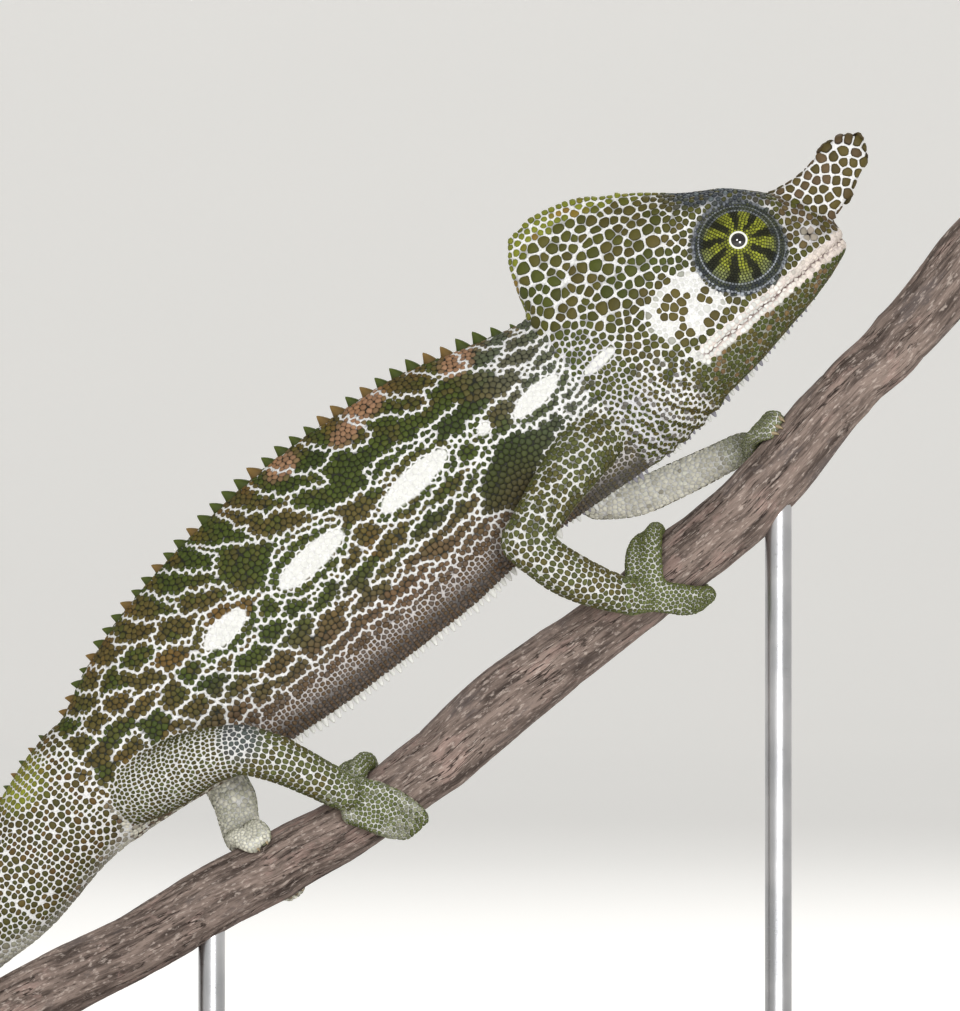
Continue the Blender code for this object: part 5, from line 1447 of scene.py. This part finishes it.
def skin_tints(spots, zones, edge):
    """The skin's colour: white between groups of scales, and dark within them, partly a dark olive of its
    own and partly painted shade in the narrow gaps.
    """
    head, throat = zones["head"], zones["throat"]
    blotch = np.min([oval(spots, place) for place in BLOTCHES], axis=0)
    grouped = zones["torso"] + 0.5 * head * (1 - zones["cheek"]) + 0.7 * zones["shoulder"]
    low = 1 - ramp(spots.height, 0.05, 0.13)
    nostril = from_nostril(spots.along, spots.rise)
    mouth = head * ramp(spots.along, LIPS_FROM, MOUTH_CORNER + 0.5)
    from_mouth = over_mouth(spots.along, spots.rise)
    tint = laid_over(WHITE, [
        # partly painted shade: skin within the groups, within the throat's rows and under the eye's granules
        # is dark, partly its own dark olive and partly painted shade in the narrow gaps
        (grouped * ramp(edge, 0.16, 0.34) * ramp(blotch, 0.95, 1.05), DARK_OLIVE_AND_SHADE),
        (zones["belly"] * 0.9, blend(tone(206, 199, 196), (low[:, None], tone(58, 50, 48)))),
        (zones["nape"] * 0.35, LILAC),
        (throat * ramp(edge, 0.15, 0.4) * 0.8, tone(84, 84, 80)),
        (zones["jaw"] * 0.7, tone(112, 114, 88)),
        (zones["snout"] * 0.4, tone(120, 110, 110)),
        (zones["brow"] * 0.8, SLATE),
        (zones["foot"] * 0.25, GREY_GREEN),
        (zones["limb"] * 0.12, GREY_GREEN),
        (zones["tail"] * 0.06, GREY_GREEN),
        (zones["turret"], DARK_OLIVE_AND_SHADE),
        (zones["socket"] * 0.9, SLATE * 0.7),
        # painted shade: the nostril's pit and the mouth's slit are painted dark
        (head * (1 - ramp(nostril, 0.3, 0.5)), tone(46, 34, 32)),
        (mouth * ramp(from_mouth, -1.05, -0.9) * (1 - ramp(from_mouth, 1.1, 1.25)), LIP_PINK),
        (mouth * (1 - ramp(np.abs(from_mouth), 0.1, 0.26)), tone(84, 56, 50)),
    ])
    return np.clip(tint, 0, 1)


def add_tint(mesh, tints):
    """Writes a colour for each point, which the materials read."""
    layer = mesh.color_attributes.new("tint", "FLOAT_COLOR", "POINT")
    layer.data.foreach_set("color", np.ascontiguousarray(tints, np.float32).ravel())


def add_bake_map(mesh, roots, numbers, sides, widths):
    """The baking map: each scale is a small round patch at its root's place on an unwrap of the
    forms, which lie side by side, u along a form and v round it. Widths are those of its rings."""
    forms_here = np.unique(roots.form[numbers])
    block = np.searchsorted(forms_here, roots.form[numbers])
    centre = np.stack([(block + 0.06 + 0.88 * roots.row[numbers]) / len(forms_here),
                       0.02 + 0.96 * roots.turn[numbers]], -1)
    ring = np.stack([np.cos(around(sides)), np.sin(around(sides))], -1) * PATCH_RADIUS
    patch = np.concatenate([ring * wide for wide in widths] + [[[0.0, 0.0]]])
    layer = mesh.uv_layers.new(name="OFBake")
    corners = np.zeros(len(mesh.loops), np.int64)
    mesh.loops.foreach_get("vertex_index", corners)
    layer.data.foreach_set("uv", (centre[:, None] + patch).reshape(-1, 2)[corners].ravel())


def dome_faces(count, rings, sides):
    """The faces of domes alike: quads between their rings, a fan up to the middle, and a foot."""
    start = np.arange(count)[:, None, None] * (rings * sides + 1)
    j = np.arange(sides)
    k = (j + 1) % sides
    quad = np.stack([j, k, k + sides, j + sides], -1)
    quads = np.concatenate([quad + row * sides for row in range(rings - 1)])
    tips = np.stack([j, k, np.full(sides, sides)], -1) + (rings - 1) * sides
    return [(start + quads).reshape(-1, 4), (start + tips).reshape(-1, 3),
            (start[:, 0] + j[::-1]).reshape(-1, sides)]


def scale_piece(name, chosen, sides):
    """The chosen scales as one mesh: a foot under the skin, a shoulder, a crown and a middle. Their foot and
    shoulder are painted darker as shade, and their middle is painted a little lighter as a highlight.
    """
    reach, bend, direction = (part[chosen] for part in shapes[sides])
    roots, ups = spots.points[chosen][:, None], spots.normals[chosen][:, None]
    tall, crown, painted_edge_shade = tallness[chosen], crowns[chosen], rim_shade[chosen]
    rings, painted_shading = [], []
    for wide, high, sink, dark in (*SCALE_RINGS, (crown, 0.95, 0.0, 0.0)):
        out = reach * np.broadcast_to(wide, len(tall))[:, None]
        lift = bend * out ** 2 / 2 + tall[:, None] * high - sink
        rings.append(roots + direction * out[..., None] + ups * lift[..., None])
        # painted shade: the foot and shoulder rings are darkened by the scale's rim shade
        painted_shading.append(np.repeat((1 - painted_edge_shade * dark)[:, None], sides, axis=1))
    rings.append(roots + ups * tall[:, None, None])
    # painted highlight: the middle of each dome is made a little lighter
    painted_shading.append(np.full((len(chosen), 1), 1.06))
    points, painted_shading = np.concatenate(rings, axis=1), np.concatenate(painted_shading, axis=1)
    piece = new_piece(name, points, dome_faces(len(chosen), 3, sides), scale_finish.material)
    marked = np.repeat(spots.on("torso", "head")[chosen], points.shape[1])
    colours = (tints[chosen][:, None] * painted_shading[..., None]).reshape(-1, 4)
    colours = laid_over(colours, [(white_marks(points.reshape(-1, 3)) * marked, WHITE)])
    colours[:, 3] = 1.0
    add_tint(piece.data, np.clip(colours, 0, 1))
    add_bake_map(piece.data, spots, chosen, sides, (1.0, 0.95, 0.6))


def speckled(finish, tint, share, first, second):
    """A tint half multiplied by a mix of two tones."""
    mixed = finish.mix(share, first, second)
    settings = {"data_type": "RGBA", "blend_type": "MULTIPLY"}
    return finish.node("ShaderNodeMix", settings, {0: 0.5, 6: tint, 7: mixed}, 2)


zones = coat_zones(spots)
groups = scale_groups(spots, zones)
near_scales = neighbours_of(seeds, NEIGHBOURS)
gap_inside, gap_between = gaps(zones, groups)
in_band = np.isin(groups, [*LIPS, *IN_BLOTCH])
sharpness = by_zone(zones, 13.0, head=8.0, cheek=7.0, blade=9.0, tail=5.5, limb=6.0, hips=8.0)
sharpness = np.where(in_band, 16.0, sharpness)
shapes = {sides: outlines(spots, seed_sizes, groups, gap_inside, gap_between, sharpness, sides)
          for sides in (8, 9, 14)}
middle_reach = shapes[9][0].mean(axis=1)
tallness = middle_reach * by_zone(zones, 0.3, casque=0.2, cheek=0.2, brow=0.5, belly=0.75, throat=0.42,
                                  turret=0.5, limb=0.42, foot=0.5, tail=0.32)
flat_plates = in_band | ((zones["cheek"] > 0.5) & (groups < IN_ROSETTE[0]))
tallness = np.clip(np.where(flat_plates, FLATTEST, tallness), FLATTEST, SCALE_DEPTH)
crowns = by_zone(zones, 0.7, casque=0.82, belly=0.5, cheek=0.8, blade=0.8)
tints = scale_tints(spots, zones, groups)
# painted shade round each scale's edge, weaker on flat plates and on pale scales
rim_shade = np.where(flat_plates, 0.2, 0.4) * (1 - 0.7 * ramp(tints[:, :3].mean(axis=1), 0.2, 0.5))

seed_tree = tree_of(seeds)
nearest = [seed_tree.find_n(point, 4) for point in skin_points]
near_number = np.array([[hit[1] for hit in hits] for hits in nearest])
near_away = np.array([[hit[2] for hit in hits] for hits in nearest])
other = parted(groups[near_number], groups[near_number[:, :1]])
edge = (np.where(other, near_away, 9.0).min(axis=1) - near_away[:, 0]) / 2
add_tint(skin_mesh, skin_tints(skin_spots, coat_zones(skin_spots), edge))

skin_finish = Finish("white_skin", {"Specular IOR Level": 0.35})
own_tint = skin_finish.node("ShaderNodeAttribute", {"attribute_name": "tint"}, {}, "Color")
pores = skin_finish.noise(skin_finish.place(), 2600.0, 3.0, 0.6)
cells = {"Vector": skin_finish.place(), "Scale": 4200.0}
grains = skin_finish.node("ShaderNodeTexVoronoi", {}, cells, "Distance")
skin_colour = speckled(skin_finish, own_tint, grains, tone(255, 255, 255), tone(150, 146, 150))
skin_finish.surface(skin_colour, 0.55 + pores * 0.2, pores * 0.4 - grains, 0.00008, 0.7)
skin_mesh.materials.clear()
skin_mesh.materials.append(skin_finish.material)
skin_mesh.shade_smooth()
skin = bpy.data.objects.new("skin", skin_mesh)
bpy.context.scene.collection.objects.link(skin)
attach(skin, "root")
not_flesh = ("stand", "branch", "eye_left", "eye_right")
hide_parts(*[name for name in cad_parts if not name.startswith(not_flesh)])

scale_finish = Finish("scales", {"Specular IOR Level": 0.25})
own_tint = scale_finish.node("ShaderNodeAttribute", {"attribute_name": "tint"}, {}, "Color")
mottle = scale_finish.noise(scale_finish.place(), 1500.0, 3.0, 0.6)
fine = scale_finish.noise(scale_finish.place(), 5200.0, 2.0, 0.6)
scale_colour = speckled(scale_finish, own_tint, mottle, tone(130, 130, 116), tone(255, 255, 250))
scale_finish.surface(scale_colour, 0.5 + mottle * 0.24, mottle * 0.7 + fine * 0.5, 0.00007, 0.5)

on_head, on_torso, on_tail = spots.on("head", "blade"), spots.on("torso"), spots.on("tail")
on_leg = spots.on("limb", "foot")
big = on_head & (seed_sizes > 1.0)
pieces = {
    "scales_casque_and_blade": (big, 14),
    "scales_face_and_throat": (on_head & ~big, 9),
    "scales_eyes": (spots.on("turret"), 8),
    "scales_chest": (on_torso & (spots.along > -49.0), 8),
    "scales_flank_front": (on_torso & (spots.along <= -49.0) & (spots.along > -64.0), 8),
    "scales_flank_rear": (on_torso & (spots.along <= -64.0) & (spots.along > -80.0), 8),
    "scales_hips": (on_torso & (spots.along <= -80.0), 8),
    "scales_tail_root": (on_tail & (spots.run < 42.0), 9),
    "scales_tail_end": (on_tail & (spots.run >= 42.0), 8),
    "scales_front_legs": (on_leg & (spots.leg < 2), 9),
    "scales_hind_legs": (on_leg & (spots.leg >= 2), 9),
}
for name, (chosen, sides) in pieces.items():
    scale_piece(name, np.flatnonzero(chosen), sides)


# ---- the crests and the claws
# A comb of pointed scales runs along the back, green and in places golden, and a smaller one
# along the tail, green and golden by turns. Small white cones edge the belly and tiny ones the
# throat. Claws tip the toes.

CREST = (-27.0, -99.0, 2.05)  # from, to, apart
CREST_SCALE = np.array([1.35, 1.7, 0.95])[:, None]  # height, length, thickness
CREST_FADES = (-70.0, 0.42)  # from where it gets smaller, and by how much at its end
GOLDEN_NEAR = 3.0  # how near to a pinkish mark the crest is golden
TAIL_CREST = (1.3, 30.0, 1.5)
TAIL_CREST_SHARE = 0.56
TAIL_CREST_SHAPE = np.array([1.0, 0.9, 1.0])[:, None]  # of the crest's height, length, thickness
BELLY_CONES = (-38.5, -80.5, -0.9)
BELLY_CONE = np.array([1.3, 0.98, 0.84])[:, None]
CHIN_CONES = (7.0, -38.0, -0.82)
CHIN_CONE = np.array([1.05, 0.78, 0.66])[:, None]
CONE_POWER = 0.45
CREST_GOLD = tone(128, 101, 52)
CLAW = (1.25, 0.3, 0.75, 0.12)  # length, half thickness, how far it curls, lift


# base: the painted shade at a spike's root, as a share of its colour
def spikes(name, roots, ups, backs, sizes, lean, colours, power=0.75, base=0.55):
    """Pointed scales as one mesh: rings that narrow as (1 - t) ^ power up to a tip and lean back, with
    painted shade darkening them from base at the root and a painted highlight lightening the tip."""
    height, length, thick = (size[:, None, None] for size in sizes)
    turn = around(10)[None, :, None]
    side = np.cross(ups, backs)[:, None]
    origin, ups_here, backs_here = roots[:, None], ups[:, None], backs[:, None]
    ring = backs_here * length * np.cos(turn) + side * thick * np.sin(turn)
    rings, painted_shading = [], []
    for t in (-0.35, 0.0, 0.3, 0.6, 0.85):
        up = max(t, 0.0)
        middle = origin + ups_here * height * t + backs_here * length * lean * up ** 1.5
        rings.append(middle + ring * (1 - up) ** power / 2)
        # painted shade: each ring is darker the nearer it lies to the root
        painted_shading.append(np.full((len(roots), 10), base + (1.05 - base) * up))
    rings.append(origin + ups_here * height + backs_here * length * lean)
    # painted highlight at the tip
    painted_shading.append(np.full((len(roots), 1), 1.1))
    points, painted_shading = np.concatenate(rings, axis=1), np.concatenate(painted_shading, axis=1)
    piece = new_piece(name, points, dome_faces(len(roots), 5, 10), scale_finish.material)
    colours = np.clip(colours[:, None] * painted_shading[..., None], 0, 1).reshape(-1, 4)
    colours[:, 3] = 1.0
    add_tint(piece.data, colours)
    add_bake_map(piece.data, Spots(roots, ups), np.arange(len(roots)), 10, (1.0, 0.9, 0.7, 0.45, 0.2))


def ridge_line(along, column, inset):
    """Points on the torso's back or belly, with the ways out and to the rear there."""
    here = body_point(along, smooth_at(TORSO, along)[:, column] + inset)
    behind = body_point(along - 1.0, smooth_at(TORSO, along - 1.0)[:, column] + inset)
    back = unit(behind - here)
    return here, np.cross([0.0, 1.0, 0.0], back), back


def crest_fade(along):
    """From 0 where the crest begins to get smaller to 1 at its end."""
    return np.clip((CREST_FADES[0] - along) / (CREST_FADES[0] - CREST[1]), 0, 1)


along = [CREST[0]]
while along[-1] > CREST[1]:
    along.append(along[-1] - CREST[2] * (1 - crest_fade(along[-1]) * CREST_FADES[1] * 0.5))
along = np.array(along[:-1])
numbers = np.arange(len(along))
share = 1 - CREST_FADES[1] * crest_fade(along)
share *= (0.86 + 0.28 * chance(numbers, 41)) * ramp(-along, 25.5, 31.0) ** 0.5
warm = np.min([np.abs(along - place[0]) for place in TAN_PATCHES], axis=0) < GOLDEN_NEAR
warm ^= chance(numbers, 46) < 0.3
colours = np.where(warm[:, None], CREST_GOLD, LEAF_GREEN * 1.3)
roots, ups, backs = ridge_line(along, 0, -SCALE_DEPTH - 0.1)
spikes("crest_of_the_back", roots, ups, backs, CREST_SCALE * share, 0.25, colours)


def at_run(run, table):
    """Rows of a table of the tail's path read at runs along it."""
    return np.stack([np.interp(run, tail_run, column) for column in table.T], -1)


run = np.arange(*TAIL_CREST)
line = at_run(run, tail_line)
backs = unit(at_run(run + 0.5, tail_line) - line)
ups = unit(at_run(run, tail_ups))
ups = unit(ups - backs * np.sum(ups * backs, axis=1)[:, None])
roots = line + ups * (np.interp(run, tail_run, tail_high) - 0.1)[:, None]
share = TAIL_CREST_SHARE * (1 - ramp(run, 4.0, 34.0) * 0.7)
colours = np.where((np.arange(len(run)) % 2 == 1)[:, None], CREST_GOLD, MOSS)
spikes("crest_of_the_tail", roots, ups, backs, CREST_SCALE * share * TAIL_CREST_SHAPE, 0.25, colours)

along = np.arange(*BELLY_CONES)
roots, ups, backs = ridge_line(along, 1, SCALE_DEPTH + 0.1)
share = 0.82 + 0.3 * chance(np.arange(len(along)), 43)
colours = np.broadcast_to(WHITE * 1.1, (len(along), 4))
spikes("cones_of_the_belly", roots, -ups, backs, BELLY_CONE * share, 0.15, colours, CONE_POWER, 0.9)

along = np.arange(*CHIN_CONES)
numbers = np.arange(len(along))
head_alongs, head_unders = np.array([(row[0], row[12]) for row in HEAD]).T
under = np.where(along > -25.0, np.interp(along, head_alongs, head_unders),
                 smooth_at(TORSO, np.minimum(along, -25.0))[:, 1])
roots = body_point(along, under + SCALE_DEPTH + 0.1)
backs = unit(body_point(along - 1.0, under) - body_point(along, under))
ups = np.cross([0.0, 1.0, 0.0], backs)
share = (0.5 + 0.5 * chance(numbers, 44)) * ramp(-along, -8.0, 4.0)
colours = np.where((chance(numbers, 45) > 0.4)[:, None], LILAC * 0.8, WHITE)
spikes("cones_of_the_throat", roots, -ups, backs, CHIN_CONE * share, 0.1, colours, CONE_POWER, 0.8)

horny = Finish("claws", {"Specular IOR Level": 0.5})
horn_streaks = horny.noise(horny.place((900.0, 900.0, 900.0)), 1.0, 3.0)
horn_colour = horny.mix(horn_streaks, tone(92, 74, 52), tone(186, 168, 132))
horny.surface(horn_colour, 0.32 + horn_streaks * 0.15, horn_streaks, 0.00004, 0.4)
length, thick, curl, lift = CLAW
t = np.linspace(0, 1, 9)
half = thick * (1 - t) ** 0.7 + 0.02
ahead, down = np.sin(t * 1.25) * length * 0.8, (1 - np.cos(t * 1.25)) * curl
claw_rings = []
for tip, heading, up in toe_tips:
    path = tip + heading * ahead[:, None] - up * down[:, None] + up * lift
    claw_rings.append(rings_along(path, up, half, half, 10))
claws = new_piece("claws", *joined_forms(claw_rings), horny.material)


# ---- the eyes
# Glossy black eyes of blown glass look out of the small holes in the turrets. A thin pale rim
# of skin rings each hole, pressed close to the glass.

EYE_RADIUS = 1.4
EYE_HEIGHT = 7.65
RIM = (0.99, 8.83, 0.13)  # radius, height and half thickness of the pale rim
RIM_GRID = (72, 14)

glass = Finish("black_glass", {"Coat Roughness": 0.03, "Specular IOR Level": 0.6, "Coat Weight": 1.0})
depth = glass.noise(glass.place(), 1400.0, 2.0)
glass.surface(glass.mix(depth, tone(6, 5, 4), tone(22, 16, 10)), 0.06 + depth * 0.04)
pale = Finish("pale_eye_rim", {"Specular IOR Level": 0.4})
pale_grain = pale.noise(pale.place(), 3200.0, 2.0, 0.6)
pale_colour = pale.mix(pale_grain, tone(206, 206, 196), tone(244, 244, 238))
pale.surface(pale_colour, 0.45 + pale_grain * 0.1, pale_grain, 0.00004, 0.5)
angle = np.linspace(-math.pi / 2, math.pi / 2, 34)[1:-1]
eye_profile = np.stack([EYE_RADIUS * np.cos(angle), EYE_HEIGHT + EYE_RADIUS * np.sin(angle)], -1)
rows, columns = RIM_GRID
turn, tube = around(rows)[:, None, None], around(columns)[None, :, None]
i, j = np.meshgrid(np.arange(rows), np.arange(columns), indexing="ij")
low, high = i * columns, (i + 1) % rows * columns
k = (j + 1) % columns
rim_faces = np.stack([low + j, high + j, high + k, low + k], -1).reshape(-1, 4)
for side in TURRET_AIM:
    eye = new_piece("eye_glass_" + side, *joined_forms([turned(eye_profile, side, 56)]), glass.material)
    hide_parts("eye_" + side)
    out, level, up = aim_frame(side)
    outward = np.cos(turn) * level + np.sin(turn) * up
    rings = (body_point(*EYE_ROOT) + out * (RIM[1] + RIM[2] * 0.8 * np.sin(tube))
             + outward * (RIM[0] + RIM[2] * np.cos(tube)))
    rim = new_piece("eye_rim_" + side, rings, [rim_faces], pale.material)


# ---- the floor
# A plain pale studio floor that curves up far out into a backdrop. Its sheet has a painted glow, a faint
# emission of its own that brightens the backdrop and lights the animal softly from below.

FLOOR_FLAT = 2.9  # metres, as all of the floor
FLOOR_REACH = 4.1
FLOOR_HEIGHT = 1.2
FLOOR_MIDDLE = 0.02
FLOOR_GRID = (60, 96)

# painted glow: the floor gives off a little light of its own, though it is no lamp
painted_glow = {"Emission Color": (1.0, 0.99, 0.97, 1.0), "Emission Strength": 0.3}
sweep = Finish("pale_studio_floor", {"Roughness": 0.9, "Specular IOR Level": 0.1, **painted_glow})
sweep_colour = sweep.mix(sweep.noise(sweep.place(), 3.0, 2.0), tone(226, 225, 222), tone(232, 231, 228))
sweep.surface(sweep_colour)
t = np.linspace(0, 1, FLOOR_GRID[0])[:, None]
turn = around(FLOOR_GRID[1])
radius = np.where(t < 0.5, FLOOR_MIDDLE + 2 * t * (FLOOR_FLAT - FLOOR_MIDDLE),
                  FLOOR_FLAT + np.sin((t - 0.5) * math.pi) * (FLOOR_REACH - FLOOR_FLAT))
height = np.where(t < 0.5, 0.0, (1 - np.cos((t - 0.5) * math.pi)) * FLOOR_HEIGHT)
floor_points = np.stack(np.broadcast_arrays(radius * np.cos(turn), radius * np.sin(turn), height), -1) / MM
floor_faces = ring_faces(*FLOOR_GRID)
floor_faces[1] = floor_faces[1][:1]
floor = new_piece("studio_floor", floor_points, floor_faces, sweep.material)
floor.data.flip_normals()


# ---- the camera and the lights
# The camera looks level at the animal's right side. Three soft lights stand round it.

CAMERA_PLACE = (0.0072, -1.25, 0.0908)
CAMERA_WIDTH = 0.1152
LIGHTS = {  # place, power, size
    "key": ((-0.3, -1.15, 0.75), 5.2, 0.3),
    "fill": ((0.48, -1.92, 0.26), 21.0, 0.64),
    "back": ((0.2, 0.9, 0.9), 6.0, 0.5),
}
LIGHTS_AIM = (0.0, 0.0, 0.08)

camera_data = bpy.data.cameras.new("camera")
camera_data.sensor_fit = "HORIZONTAL"
camera_data.lens = camera_data.sensor_width * -CAMERA_PLACE[1] / CAMERA_WIDTH
camera_data.clip_start = 0.01
camera = bpy.data.objects.new("camera", camera_data)
camera.location = CAMERA_PLACE
camera.rotation_euler = (math.radians(90), 0.0, 0.0)
bpy.context.scene.collection.objects.link(camera)
bpy.context.scene.camera = camera
for name, (place, power, size) in LIGHTS.items():
    light_data = bpy.data.lights.new(name, "AREA")
    light_data.energy = power
    light_data.size = size
    light = bpy.data.objects.new(name, light_data)
    light.location = place
    aim = np.array(LIGHTS_AIM) - place
    turn = math.atan2(aim[1], aim[0]) - math.pi / 2
    light.rotation_euler = (math.acos(-aim[2] / np.linalg.norm(aim)), 0.0, turn)
    light.visible_camera = False
    bpy.context.scene.collection.objects.link(light)
world = bpy.data.worlds.new("studio")
world.use_nodes = True
backdrop = world.node_tree.nodes["Background"].inputs
backdrop["Color"].default_value = (1.0, 0.99, 0.97, 1.0)
backdrop["Strength"].default_value = 0.42
bpy.context.scene.world = world
bpy.context.scene.view_settings.view_transform = "Standard"
